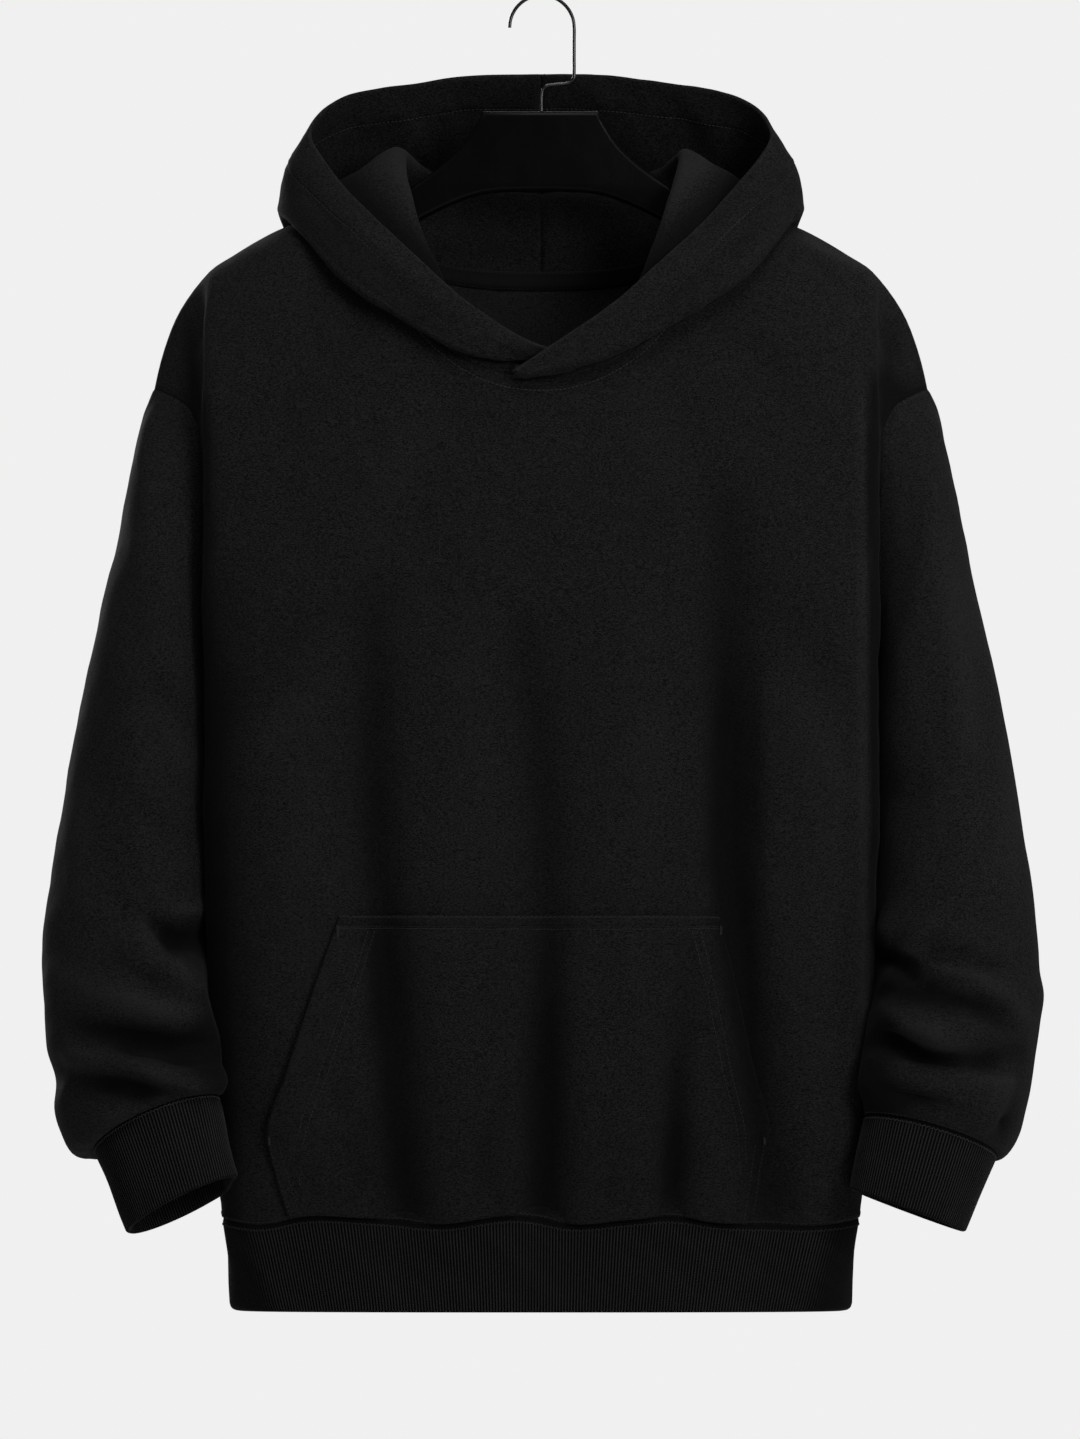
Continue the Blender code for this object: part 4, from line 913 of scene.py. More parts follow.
# %% Sizes of the hood
HOOD_COLUMNS = "place roll_x roll_y roll low_x low_y low edge_x edge_y edge roll_r low_r puff"
HOOD_ROWS = (
    (0, 0, 50, -7, 0, 92, 176, 0, 28, -83, 6, 12, 17), (1, 26, 49, -8, 40, 91, 172, 42, 27, -82.5, 6, 12, 17),
    (2, 52, 44, -13, 78, 86, 155, 80, 24, -77, 6, 11, 16), (3, 78, 32, -23, 132, 58, 82, 127, 15, -67, 6, 9, 11),
    (4, 90, 5, -29, 167, 6, 11, 148, -4, -40, 5, 7, 5), (5, 83, -25, 4, 131, -53, 54, 118, -30, 4, 4, 4.5, 3),
    (6, 63, -44, 57, 94, -64, 80, 81, -50, 42, 3, 3, 2), (7, 41, -58, 99, 50, -70, 104, 43, -64, 76, 2, 2.6, 1),
)  # fmt: skip
LEFT_FRONT = (
    (8, 1, -60, 114.5, 2, -70, 119, 0, -68, 105, 2, 2.4, 0),
    (8.5, -16.3, -60.5, 115, -17, -70.5, 120.5, -18, -70, 117, 1.6, 1.4, 0),
)  # fmt: skip
RIGHT_FRONT = (
    (8, 1, -51, 113.5, 3, -57, 110.5, 1, -59.5, 100, 1.8, 2, 0),
    (8.5, -15, -51, 113.5, -15, -56, 111.5, -15, -58.5, 103, 1.8, 2, 0),
)  # fmt: skip
HOOD_LEFT = table(HOOD_COLUMNS, *HOOD_ROWS, *LEFT_FRONT)
HOOD_RIGHT = table(HOOD_COLUMNS, *HOOD_ROWS, *RIGHT_FRONT)
HOOD_PLACES, HAIRPIN_OUT, CROSSING, CROSSED_UNDER, CROSSED_FROM = 8, 0.25, 0.68, 2.8, 7
TURN_POINTS, STAND_POINTS, FALL_POINTS, BAND_POINTS = 5, 1, 2, 3
FALL_CLEARANCE, BAND_CLEARANCE, NECK_REACH, SHOULDER_REACH, LAID_EASE = 5.0, 10.0, 14.0, 5.0, 2.0
HOOD_PIN_REACH = 9.0


# %% Profile of the hood
def rounded_turn(before, corner, after, radius, out, along):
    """An arc in place of a corner, square to the fold's own line. A hairpin turns over to its out side."""
    came, goes = (unit(leg - along * np.dot(leg, along)) for leg in (before - corner, after - corner))
    out = out - along * np.dot(out, along)
    inward = unit(came + goes)
    across = goes - came + out
    across = unit(across - inward * np.dot(across, inward))
    half = math.acos(np.clip(np.dot(inward, goes), -1, 1))
    centre = corner + inward * radius
    turns = np.linspace(half - math.pi / 2, math.pi / 2 - half, TURN_POINTS)
    return [centre + (across * math.sin(turn) - inward * math.cos(turn)) * radius for turn in turns]


def between(start, end, count, push):
    shares = [(i + 1) / (count + 1) for i in range(count)]
    return [mix(start, end, share) + push * math.sin(math.pi * share) for share in shares]


def hood_station(sizes, station):
    at = {name: float(read(sizes, name, station)) for name in sizes}
    return at, *(place(at[f"{name}_x"], at[f"{name}_y"], at[name]) for name in ("roll", "low", "edge"))


def line_way(sizes, station, line):
    if station == 0:
        return np.array((1.0, 0, 0))
    return unit(hood_station(sizes, station + 0.2)[line] - hood_station(sizes, station - 0.2)[line])


def hood_profile(sizes, station, neck):
    at, roll, low, edge = hood_station(sizes, station)
    rolled, lowest = line_way(sizes, station, 1), line_way(sizes, station, 2)
    out = unit(np.cross(edge - low, lowest))
    first = rounded_turn(neck, roll, low, at["roll_r"], out * 0, rolled)
    second = rounded_turn(roll, low, edge, at["low_r"], out * HAIRPIN_OUT, lowest)
    stand = between(neck, first[0], STAND_POINTS, out * 0)
    fall = between(first[-1], second[0], FALL_POINTS, out * at["puff"] * 0.3)
    band = between(second[-1], edge, BAND_POINTS, out * at["puff"])
    return [neck, *stand, *first, *fall, *second, *band, edge]


def panel_top(face, x):
    across = min(abs(x) / NECK_HALF_WIDTH, 1)
    neckline = face["neck_drop"] * (1 - across ** face["neck_power"]) ** (1 / face["neck_power"])
    return neckline if across < 1 else float(read(SHOULDER, "drop", abs(x)))


def laid_on_body(point, clearance):
    """A point of the hood moved out, where it would lie under the body's surface."""
    face = FRONT if point[1] < 0 else BACK
    top, drop = panel_top(face, point[0]), drop_of(point)
    reach = NECK_REACH if abs(point[0]) < NECK_HALF_WIDTH else SHOULDER_REACH
    fade = min((reach - (top - drop)) / (0.6 * reach), 1)
    if fade <= 0:
        return point
    needed = fade * (bulge(face, point[0], max(drop, top) + SHOULDER_REACH / 2) + clearance)
    short = needed - abs(point[1])
    if short > -LAID_EASE:
        point = point + np.array((0, face["side"] * eased(short, LAID_EASE), 0))
    return point


# %% Coarse and fine halves
HOOD_STEPS = [even(8)] * 17
HOOD_FINE_ROWS = [
    np.array((0, 0.1, 0.25, 0.5, 0.75)), even(4), *[even(3)] * 4, *[even(11)] * 3, *[even(3)] * 4, *[even(14)] * 4,
]  # fmt: skip
BAND_START = sum(len(steps) for steps in HOOD_FINE_ROWS[:-4])
HEM_LINES = np.array((0, 0.25, 0.6, 1.1, 1.8, 4, 8, 12, 16, 19.5, 22, 23.2, 24, 24.8, 26, 28, 31.0))


def coarse_hood(side, sizes):
    centre = SEAM_COLUMN
    around = [(back_coarse, back_guide, column) for column in range(NECK_COLUMNS)]
    around += [(front_coarse, front_guide, column) for column in range(NECK_COLUMNS, -1, -1)]
    necks = [panel[0, centre + side * column] for panel, _, column in around]
    shared = [guide[0, centre + side * column] for _, guide, column in around]
    necks.append(mix(front_coarse[0, centre], front_coarse[0, centre - side], CROSSING))
    shared.append(front_guide[0, centre])
    mirror = np.array((side, 1, 1))
    stations = [HOOD_PLACES * k / (2 * NECK_COLUMNS) for k in range(len(necks))]
    columns = []
    for station, neck in zip(stations, necks):
        under = CROSSED_UNDER * rising(station, CROSSED_FROM, 0.5) if side < 0 else 0
        foot = neck * mirror + np.array((0, under, 0))
        columns.append(np.array(hood_profile(sizes, station, foot)) * mirror)
    grid = np.array(columns).transpose(1, 0, 2)
    fall = 1 + STAND_POINTS + TURN_POINTS
    band = fall + FALL_POINTS + TURN_POINTS
    for row in range(fall, len(grid)):
        layers = rising(row, fall + FALL_POINTS, band - fall - FALL_POINTS)
        for k in range(1, len(stations)):
            grid[row, k] = laid_on_body(grid[row, k], mix(FALL_CLEARANCE, BAND_CLEARANCE, layers))
    normals = normals_of(grid) * side
    normals[0] = shared
    normals[:, 0] = unit(normals[:, 0] * (0, 1, 1))
    return grid, normals


def respaced(grid, start):
    """Moves the rows after the start along the cloth, so that some lie at set distances from the edge."""
    made = grid.copy()
    rows = len(grid) - start
    for k in range(grid.shape[1]):
        line = grid[start:, k]
        reach = run(line, 0)
        whole = reach[-1]
        near = HEM_LINES * min(1, 0.8 * whole / HEM_LINES[-1])
        rest = np.linspace(0, whole - near[-1], rows - len(near) + 1)[:-1]
        made[start:, k] = on_line(line, reach, np.concatenate((rest, whole - near[::-1])))
    return made


def fine_hood(side, sizes):
    coarse, guide = coarse_hood(side, sizes)
    grid = respaced(refined(coarse, HOOD_FINE_ROWS, HOOD_STEPS), BAND_START)
    at = places_of(HOOD_STEPS)
    outward = SEAM_COLUMN + side * at
    neck = on_line(back["grid"][0], column_places, outward)
    frontal = on_line(front["grid"][0], column_places, SEAM_COLUMN + side * (2 * NECK_COLUMNS - at))
    line = np.where(at[:, None] < NECK_COLUMNS, neck, frontal)
    if side < 0:
        line = line + (0, 1, 0) * (CROSSED_UNDER * rising(at / 2, CROSSED_FROM, 0.5))[:, None]
    line = np.where(at[:, None] > 2 * NECK_COLUMNS, grid[0], line)
    grid = pinned(grid, line, HOOD_PIN_REACH)
    guide = unit(refined(guide, HOOD_FINE_ROWS, HOOD_STEPS))
    gap = edge_gaps(grid, ("top", "first"))
    return sheet_of(grid, guide, keep=fading(gap, SEAM_KEEP)), gap


HOOD_BACK_FOLDS = (
    (2.2, 11, 0.4, (20, -78), (52, -62), (70, -38)), (-2.2, 10, 0.4, (6, -60), (40, -40), (66, -8)),
    (2.0, 10, 0.3, (92, -70), (110, -52), (118, -28)), (-1.8, 9, 0.3, (76, -72), (96, -50), (104, -20)),
    (1.8, 10, 0.4, (-104, -68), (-86, -46), (-70, -30)), (-1.8, 11, 0.2, (-60, -72), (-40, -40), (-24, 0)),
    (-3.0, 16, 0.2, (-70, 20), (-30, 60), (-10, 120)), (-2.6, 15, 0.2, (80, 10), (40, 56), (16, 110)),
    (2.4, 18, 0.0, (-44, 0), (-20, 40), (-8, 80)), (2.0, 16, 0.0, (50, 20), (26, 70), (12, 130)),
    (-2.2, 12, 0.2, (-96, 60), (-60, 110), (-30, 150)), (-2.2, 12, 0.2, (100, 56), (64, 104), (34, 146)),
)  # fmt: skip
HOOD_FRONT_FOLDS = (
    (-1.6, 8, 0.3, (-112, 40), (-86, 66), (-58, 92)), (1.2, 7, 0.3, (-120, 22), (-96, 44), (-66, 70)),
    (-1.6, 8, 0.3, (118, 36), (92, 62), (60, 90)), (1.2, 7, 0.3, (126, 18), (100, 44), (70, 70)),
    (-1.8, 7, 0.4, (150, -6), (138, 20), (120, 40)), (-1.8, 7, 0.4, (-150, -6), (-136, 18), (-118, 40)),
    (-1.4, 6, 0.4, (-30, 100), (-14, 108), (4, 110)), (1.3, 5, 0.5, (-36, 92), (-16, 102), (2, 108)),
)  # fmt: skip


HOOD_HEM, HOOD_HEM_THICKER = 24.0, 0.55


def finished_hood(side, sizes, seed):
    """A half with its folds and hem, and with the painted shade and highlight of its outer and inner faces."""
    sheet, gap = fine_hood(side, sizes)
    grid = sheet["grid"]
    rows = np.arange(len(grid))[:, None]
    hem = edge_gaps(grid, ("foot",))
    before, behind = rising(-grid[..., 1], 0, 12), rising(grid[..., 1], 0, 12) * (rows > BAND_START - 18)
    amount = folds(grid, HOOD_FRONT_FOLDS) * before - folds(grid, HOOD_BACK_FOLDS) * behind
    hollow = painted_shading_of(amount, 7.0)
    amount += uneven(grid, gap, seed, 60, 22, 0.2)
    amount += puckers(grid, np.abs(hem - HOOD_HEM), seed + 3)
    made = shaped(sheet, amount * (1 - fading(gap, SEAM_HOLD)))
    inside = np.full(grid.shape[:2], 1e9)
    for edge in grid[-1]:
        inside = np.minimum(inside, np.hypot(grid[..., 0] - edge[0], grid[..., 2] - edge[2]))
    # Inside the hood, shade is painted dark behind the opening's edge, and farther in a highlight is painted
    # lighter.
    fall = (rows > 8) * (rows < BAND_START - 6) * rising(-grid[..., 1], -24, 20)
    painted_light_inside = (2.6 if side > 0 else 2.0) * np.clip(inside / 38 - 0.34, 0, 1)
    made["inner_hollow"] = fall * np.clip(1.15 * fading(inside, 14) - painted_light_inside, -1, 1)
    # The right half's band is painted darker away from its edge, as painted shade on the side that the key light
    # misses, and a painted highlight runs along the opening's rim.
    laid = (rows >= BAND_START) * before * (0.42 if side < 0 else 0.0) * np.clip(hem / 46, 0, 1)
    made["hollow"] = np.clip(hollow + laid - 0.9 * fading(hem, 1.7), -1, 1)
    hemmed = 1 / (1 + np.exp(np.minimum((hem - HOOD_HEM - 0.6) / 0.35, 50)))
    half = dipped(gap) + HOOD_HEM_THICKER * hemmed - HOOD_HEM_THICKER * fading(hem - HOOD_HEM, 0.8)
    made["half"] = np.minimum(half, rounded_edge(hem, HALF_WALL + HOOD_HEM_THICKER))
    return made


hood_left, hood_right = finished_hood(1, HOOD_LEFT, 51), finished_hood(-1, HOOD_RIGHT, 61)
cloth["hood_left"] = wall("hood_left_cloth", hood_left)
cloth["hood_right"] = wall("hood_right_cloth", hood_right)
print("hood grid:", hood_left["grid"].shape[:2])

# %% [markdown]
# ## Pocket and neck tape
# The kangaroo pocket is one cut piece laid on the front and sewn at its top, foot and lower sides, with its
# two slanted edges left open. It follows the front's own surface, moved out a little, so both hang alike.

# %% Pocket
POCKET_TOP, POCKET_CORNER = 460.0, 602.0
POCKET = table(
    "drop left right",
    (460, -126, 113), (500, -140, 122), (560, -160, 135),
    (602, -173, 145), (625, -168, 142), (656, -159, 136),
)  # fmt: skip
POCKET_SEAM_OFF, POCKET_BULGE, POCKET_FOOT_UP = 1.2, 2.4, 0.8
POCKET_HEM, POCKET_SEWN, POCKET_LEAST = 7.2, 8.0, 1.4
HEM_SHARES = (0, 0.002, 0.006, 0.012, 0.02, 0.029, 0.034, 0.039, 0.05)
EDGE_SHARES = (0, 0.002, 0.006, 0.013), (0.987, 0.994, 0.998, 1)
POCKET_FINE_ROWS = np.concatenate((HEM_SHARES, np.linspace(0.07, 0.98, 56), (0.988, 0.995, 1)))
POCKET_FINE_COLUMNS = np.concatenate((EDGE_SHARES[0], np.linspace(0.024, 0.976, 80), EDGE_SHARES[1]))
POCKET_FOLDS = (
    (-2.2, 9, 0.3, (-106, 462), (-100, 540), (-92, 640)), (1.4, 12, 0.0, (-60, 470), (-56, 600)),
    (-1.6, 9, 0.2, (6, 464), (8, 560), (6, 648)), (1.3, 12, 0.0, (56, 470), (54, 620)),
    (-1.6, 7, 0.3, (122, 470), (126, 520)), (-1.8, 8, 0.3, (84, 560), (82, 648)),
    (1.5, 6, 0.5, (96, 474), (116, 540), (132, 606)), (1.3, 7, 0.4, (-112, 486), (-132, 560), (-148, 612)),
    (-1.3, 7, 0.3, (-138, 560), (-118, 590), (-110, 640)), (-1.2, 8, 0.2, (-20, 560), (-36, 610), (-30, 648)),
    (0.9, 10, 0.0, (28, 520), (30, 640)),
)  # fmt: skip


def pocket_point(across, down):
    foot = read(HEM_SEAM, "drop", mix(POCKET["left"][-1], POCKET["right"][-1], across))
    drop = mix(POCKET_TOP, foot - POCKET_FOOT_UP, down)
    x = mix(read(POCKET, "left", drop), read(POCKET, "right", drop), across)
    arch = math.sin(math.pi * across)
    sides = arch**0.5 if drop > POCKET_CORNER else 0.8 + 0.2 * arch
    stand = POCKET_SEAM_OFF + POCKET_BULGE * math.sin(math.pi * down) ** 0.8 * sides
    return face_point(FRONT, x, drop) + unit(np.array((0.12 * x / 200, -1, 0))) * (2 * HALF_WALL + stand)


grid = np.array([[pocket_point(across, down) for across in POCKET_FINE_COLUMNS] for down in POCKET_FINE_ROWS])
pocket = sheet_of(grid, np.broadcast_to((0.0, -1, 0), grid.shape))
under = folds(grid, FRONT_FOLDS) + 0.5 * ripple(grid, 70, 11)
band_gap, foot_gap = edge_gaps(grid, ("top",)), edge_gaps(grid, ("foot",))
side_gap = edge_gaps(grid, ("first", "last"))
# The pocket hangs in the front's folds and has smaller ones of its own. Its rows of stitches pull it in.
own = folds(grid, POCKET_FOLDS) + puckers(grid, np.minimum(band_gap, side_gap), 71) + 0.15 * ripple(grid, 22, 72)
own = own * (1 - fading(np.minimum(band_gap, foot_gap), 9))
sewn = 0.7 * fading(band_gap - POCKET_HEM, 1.1)
sewn += 0.6 * rising(drop_of(grid), POCKET_CORNER, 6) * fading(side_gap - POCKET_SEWN, 1.1)
pocket = shaped(pocket, under + 0.35 * own + 0.65 * np.maximum(own, -0.8) - sewn)
# Painted shade in the folds that the pocket shares with the front, and deeper in its own.
pocket["hollow"] = painted_shading_of(folds(grid, FRONT_FOLDS) + 1.7 * np.minimum(own, 0), 8.0)
opening = rising(POCKET_CORNER + 4 + pocket["grid"][..., 2], SHOULDER_POINT_Z, 6)
hemmed = 0.6 / (1 + np.exp((band_gap - 7.4) / 0.3)) + opening * 0.35 / (1 + np.exp((side_gap - 20) / 0.5))
pocket["half"] = np.minimum(HALF_WALL + hemmed, rounded_edge(edge_gaps(grid, SEAMS), POCKET_LEAST))
cloth["pocket"] = wall("pocket_cloth", pocket)
print("pocket grid:", grid.shape[:2])

# %% Neck tape
TAPE_WALL, SEAM_GAP, TAPE_COLUMNS, TAPE_MOVED = 1.0, 0.3, 5, (0, -0.6, 4.0)
strip = slice(*np.searchsorted(column_places, (SEAM_COLUMN - TAPE_COLUMNS, SEAM_COLUMN + TAPE_COLUMNS + 0.01)))
depth = slice(0, np.searchsorted(row_places, 1.01))
near = back["grid"][depth, strip] - back["normals"][depth, strip] * (HALF_WALL + SEAM_GAP + TAPE_WALL / 2)
shares = run(near, 0) / run(near, 0)[-1:]
near = mix(near[:1], near[-1:], shares[..., None]) + TAPE_MOVED
facing_in = np.broadcast_to(back["normals"][depth, strip][-1:], near.shape)
tape = {"grid": near, "normals": facing_in, "closed": False}
tape["half"] = np.minimum(TAPE_WALL / 2, rounded_edge(edge_gaps(near, SEAMS), TAPE_WALL / 2))
cloth["neck_tape"] = wall("neck_tape_cloth", tape)
print("tape:", near.shape[:2])

# %% [markdown]
# ## Ribbed bands
# Hem and cuffs are knitted rib: narrow ridges called wales, about 2 mm apart, that run round the band. They
# repeat by a rule, so Geometry Nodes raise them: a smooth band carries its own count of wales round its
# length, and the tree lifts each point by a rounded ridge. Typing in a displacement would do it once, and
# the tree lets pitch and height be changed by name.


# %% Node trees as Python expressions
class Value:
    """A socket of a node tree, which the usual operators work on."""

    def __init__(self, nodes, socket):
        self.nodes, self.socket = nodes, socket

    def maths(self, operation, *others):
        return self.nodes.add("ShaderNodeMath", {"operation": operation}, (self, *others))

    def __add__(self, other):
        return self.maths("ADD", other)

    def __sub__(self, other):
        return self.maths("SUBTRACT", other)

    def __mul__(self, other):
        return self.maths("MULTIPLY", other)

    def __rsub__(self, other):
        return (self * -1).maths("ADD", other)

    def scaled(self, sizes):
        return self.nodes.add("ShaderNodeVectorMath", {"operation": "MULTIPLY"}, (self, sizes))

    __radd__, __rmul__ = __add__, __mul__


class Nodes:
    """A node tree that is filled by one method."""

    def __init__(self, tree):
        self.tree = tree

    def add(self, kind, settings=(), sockets=(), out=0):
        node = self.tree.nodes.new(kind)
        for name, value in dict(settings).items():
            setattr(node, name, value)
        pairs = sockets.items() if isinstance(sockets, dict) else enumerate(sockets)
        for key, value in pairs:
            if isinstance(value, Value):
                self.tree.links.new(value.socket, node.inputs[key])
            else:
                node.inputs[key].default_value = value
        return Value(self, node.outputs[out]) if node.outputs else node


def new_geometry_tree(name, inputs):
    """A Geometry Nodes tree with named inputs, and the values that they bring in."""
    tree = bpy.data.node_groups.new(name, "GeometryNodeTree")
    tree.interface.new_socket("Geometry", in_out="OUTPUT", socket_type="NodeSocketGeometry")
    tree.interface.new_socket("Geometry", in_out="INPUT", socket_type="NodeSocketGeometry")
    for label, kind in inputs.items():
        tree.interface.new_socket(label, in_out="INPUT", socket_type=kind)
    nodes = Nodes(tree)
    group = tree.nodes.new("NodeGroupInput")
    return nodes, {socket.name: Value(nodes, socket) for socket in group.outputs if socket.name}


def baked(name, points_object, tree, values):
    """Runs a tree on an object and leaves the plain mesh that it makes."""
    modifier = points_object.modifiers.new("made", "NODES")
    modifier.node_group = tree
    for item in tree.interface.items_tree:
        if item.item_type == "SOCKET" and item.in_out == "INPUT" and item.name in values:
            modifier[item.identifier] = values[item.name]
    graph = bpy.context.evaluated_depsgraph_get()
    mesh = bpy.data.meshes.new_from_object(points_object.evaluated_get(graph), depsgraph=graph)
    bpy.data.objects.remove(points_object)
    mesh.name = name
    return linked(name, mesh)


def stored(nodes, name, kind="FLOAT_VECTOR"):
    """What a mesh stores on its points under a name."""
    return nodes.add("GeometryNodeInputNamedAttribute", {"data_type": kind}, {"Name": name})


# %% [markdown]
# ## Finishes
# The cloth is black, so its look comes from how its nap breaks up the light: a fine grain, a matt face, a
# soft sheen at grazing angles and a bump of about half a millimetre. Shade is painted darker into the folds,
# and a highlight lighter onto their tops.
# The grain lies in the piece's own space, and broader patterns and knitted loops follow its UV map. Both are
# in metres, so a scale is a true size.

# %% Shader helpers
def new_material(name):
    made = bpy.data.materials.new(name)
    made.use_nodes = True
    made.node_tree.nodes.clear()
    return made, Nodes(made.node_tree)


def material_of(name, recipe, *tones):
    """A material from a recipe, which works out what goes into the shader's sockets."""
    made, nodes = new_material(name)
    shader = nodes.add("ShaderNodeBsdfPrincipled", (), recipe(nodes, *tones))
    nodes.add("ShaderNodeOutputMaterial", (), {"Surface": shader})
    return made


def own_place(nodes):
    """A point's own place in metres, from the object's origin."""
    return nodes.add("ShaderNodeTexCoord", (), (), 3)


def stored_shade(nodes, name):
    return nodes.add("ShaderNodeAttribute", {"attribute_name": name}, (), "Fac")


def cloth_place(nodes, u=1.0, v=1.0):
    """The cloth's own place in metres, stretched so that a pattern is longer one way."""
    return nodes.add("ShaderNodeUVMap", {"uv_map": "cloth"}).scaled((u, v, 1))


def noise(nodes, where, scale, detail=2.0, roughness=0.5):
    sockets = {"Vector": where, "Scale": scale, "Detail": detail, "Roughness": roughness}
    return nodes.add("ShaderNodeTexNoise", (), sockets)


def colours(nodes, share, *pair):
    """A blend of two colours, each three numbers or a socket."""
    first, second = (colour if isinstance(colour, Value) else (*colour, 1) for colour in pair)
    sockets = {0: share, 6: first, 7: second}
    return nodes.add("ShaderNodeMix", {"data_type": "RGBA", "clamp_factor": True}, sockets, 2)


def bumped(nodes, height, distance, strength=1.0):
    return nodes.add("ShaderNodeBump", (), {"Height": height, "Distance": distance, "Strength": strength})


# %% Fleece, rib, tape and thread
def brushed_fleece(nodes):
    """Short nap and curls as grain, with broader brushed patches, painted shade in folds and painted highlight on
    their tops.
    """
    spot = own_place(nodes)
    nap = noise(nodes, spot.scaled((0.42, 0.42, 1)), 1500, 3, 0.62)
    curl = noise(nodes, spot.scaled((0.7, 0.7, 1)), 2600, 2, 0.6)
    brushed = noise(nodes, cloth_place(nodes, 1.0, 0.6), 60, 3, 0.55)
    # The stored painted shade darkens the colour deep in a fold toward the dark colour, and on a fold's top it
    # lightens it as a painted highlight.
    hollow = stored_shade(nodes, "hollow")
    ridge = (hollow * -1).maths("MAXIMUM", 0)
    tuft = noise(nodes, spot.scaled((0.6, 0.6, 1)), 420, 2, 0.5)
    grain = (nap - 0.5) * 3.6 + (curl - 0.5) * 3.2 + (tuft - 0.5) * 0.35
    share = grain + (brushed - 0.5) * 0.3 + ridge * 0.6 + 0.47
    lit = colours(nodes, share, (0.0022, 0.0022, 0.0023), (0.0215, 0.0215, 0.0219))
    height = nap * 0.6 + curl * 0.4
    return {
        "Base Color": colours(nodes, hollow * 0.82, lit, (0.0014, 0.0014, 0.0015)),
        "Roughness": (brushed - 0.5) * 0.1 + 0.9,
        "Specular IOR Level": 0.1,
        "Sheen Weight": 0.022,
        "Sheen Roughness": 0.5,
        "Sheen Tint": (0.96, 0.97, 1.0, 1.0),
        "Normal": bumped(nodes, height, 0.0005, 0.55),
    }


LOOP_PITCH, TWILL_PITCH, TWILL_TURN = 1.5, 0.9, 4.2


def knitted_rib(nodes):
    """Knitted loops along each wale, with painted shade between the wales and a painted highlight on them."""
    where = cloth_place(nodes)
    along = nodes.add("ShaderNodeSeparateXYZ", (), (where,), 1)
    wale_painted_shading = stored_shade(nodes, "wale_painted_shading")
    loops = (along * (1000 / LOOP_PITCH) + wale_painted_shading * 0.5).maths("FRACT").maths("PINGPONG", 0.5)
    fuzz = noise(nodes, where, 2200, 3, 0.6)
    patch = noise(nodes, cloth_place(nodes, 1, 0.4), 70, 2, 0.5)
    share = wale_painted_shading * 2.4 + loops * 0.4 + (fuzz - 0.5) * 1.3 + (patch - 0.5) * 0.4 - 1.6
    return {
        "Base Color": colours(nodes, share, (0.0004, 0.0004, 0.0005), (0.031, 0.031, 0.0314)),
        "Roughness": (fuzz - 0.5) * 0.12 + 0.86,
        "Specular IOR Level": 0.12,
        "Sheen Weight": 0.02,
        "Sheen Roughness": 0.5,
        "Normal": bumped(nodes, loops + fuzz * 0.5, 0.0004, 0.7),
    }


def twill_tape(nodes):
    """Slanted twill lines that turn back in the middle, as on herringbone tape."""
    where = cloth_place(nodes)
    around = nodes.add("ShaderNodeSeparateXYZ", (), (where,))
    turned = Value(nodes, around.socket.node.outputs[1]).maths("PINGPONG", TWILL_TURN * MM)
    twill = ((around + turned * 1.4) * (1000 / TWILL_PITCH)).maths("PINGPONG", 0.5)
    fuzz = noise(nodes, where, 1800, 2, 0.5)
    share = twill * 1.4 + (fuzz - 0.5) * 0.4
    return {
        "Base Color": colours(nodes, share, (0.004, 0.004, 0.0042), (0.0125, 0.0125, 0.0128)),
        "Roughness": twill * 0.2 + 0.7,
        "Specular IOR Level": 0.15,
        "Sheen Weight": 0.02,
        "Normal": bumped(nodes, twill + fuzz * 0.2, 0.0003, 0.8),
    }


def spun_thread(nodes, dark, light):
    spot = own_place(nodes)
    twist = noise(nodes, spot, 3000, 2, 0.5)
    return {
        "Base Color": colours(nodes, twist, dark, light),
        "Roughness": (twist - 0.5) * 0.2 + 0.62,
        "Specular IOR Level": 0.25,
        "Sheen Weight": 0.03,
        "Normal": bumped(nodes, twist, 0.0002, 0.6),
    }


fleece = material_of("black_brushed_fleece", brushed_fleece)
rib = material_of("black_knitted_rib", knitted_rib)
twill = material_of("black_twill_tape", twill_tape)
# The two lighter threads have a painted highlight in their colour, as if their stitches caught the light.
thread = material_of("black_sewing_thread", spun_thread, (0.007, 0.007, 0.0073), (0.02, 0.02, 0.0205))
thread_painted_lighter = material_of("black_thread_painted_lighter", spun_thread, (0.011, 0.011, 0.0114), (0.03, 0.03, 0.031))
thread_painted_sheen = material_of("black_thread_painted_sheen", spun_thread, (0.022, 0.022, 0.023), (0.06, 0.06, 0.061))


# %% Plastic and wire
def satin_plastic(nodes):
    spot = own_place(nodes)
    pebble = noise(nodes, spot, 1400, 2, 0.5)
    worn = noise(nodes, spot.scaled((1, 1, 0.5)), 60, 3, 0.6)
    return {
        "Base Color": colours(nodes, worn, (0.0027, 0.0027, 0.0028), (0.0042, 0.0042, 0.0044)),
        "Roughness": (worn - 0.5) * 0.12 + pebble * 0.05 + 0.24,
        "Specular IOR Level": 0.1,
        "Normal": bumped(nodes, pebble + worn * 0.4, 0.0001, 0.35),
    }


def drawn_wire(nodes):
    spot = own_place(nodes)
    drawn = noise(nodes, spot, 900, 3, 0.6)
    return {
        "Base Color": colours(nodes, drawn, (0.035, 0.035, 0.038), (0.10, 0.10, 0.105)),
        "Metallic": drawn * 0.06 + 0.94,
        "Roughness": (drawn - 0.5) * 0.2 + 0.27,
        "Normal": bumped(nodes, drawn, 0.00008, 0.5),
    }


plastic = material_of("black_satin_plastic", satin_plastic)
steel = material_of("dark_steel_wire", drawn_wire)
print("finishes:", ", ".join(made.name for made in (fleece, rib, twill, thread, plastic, steel)))

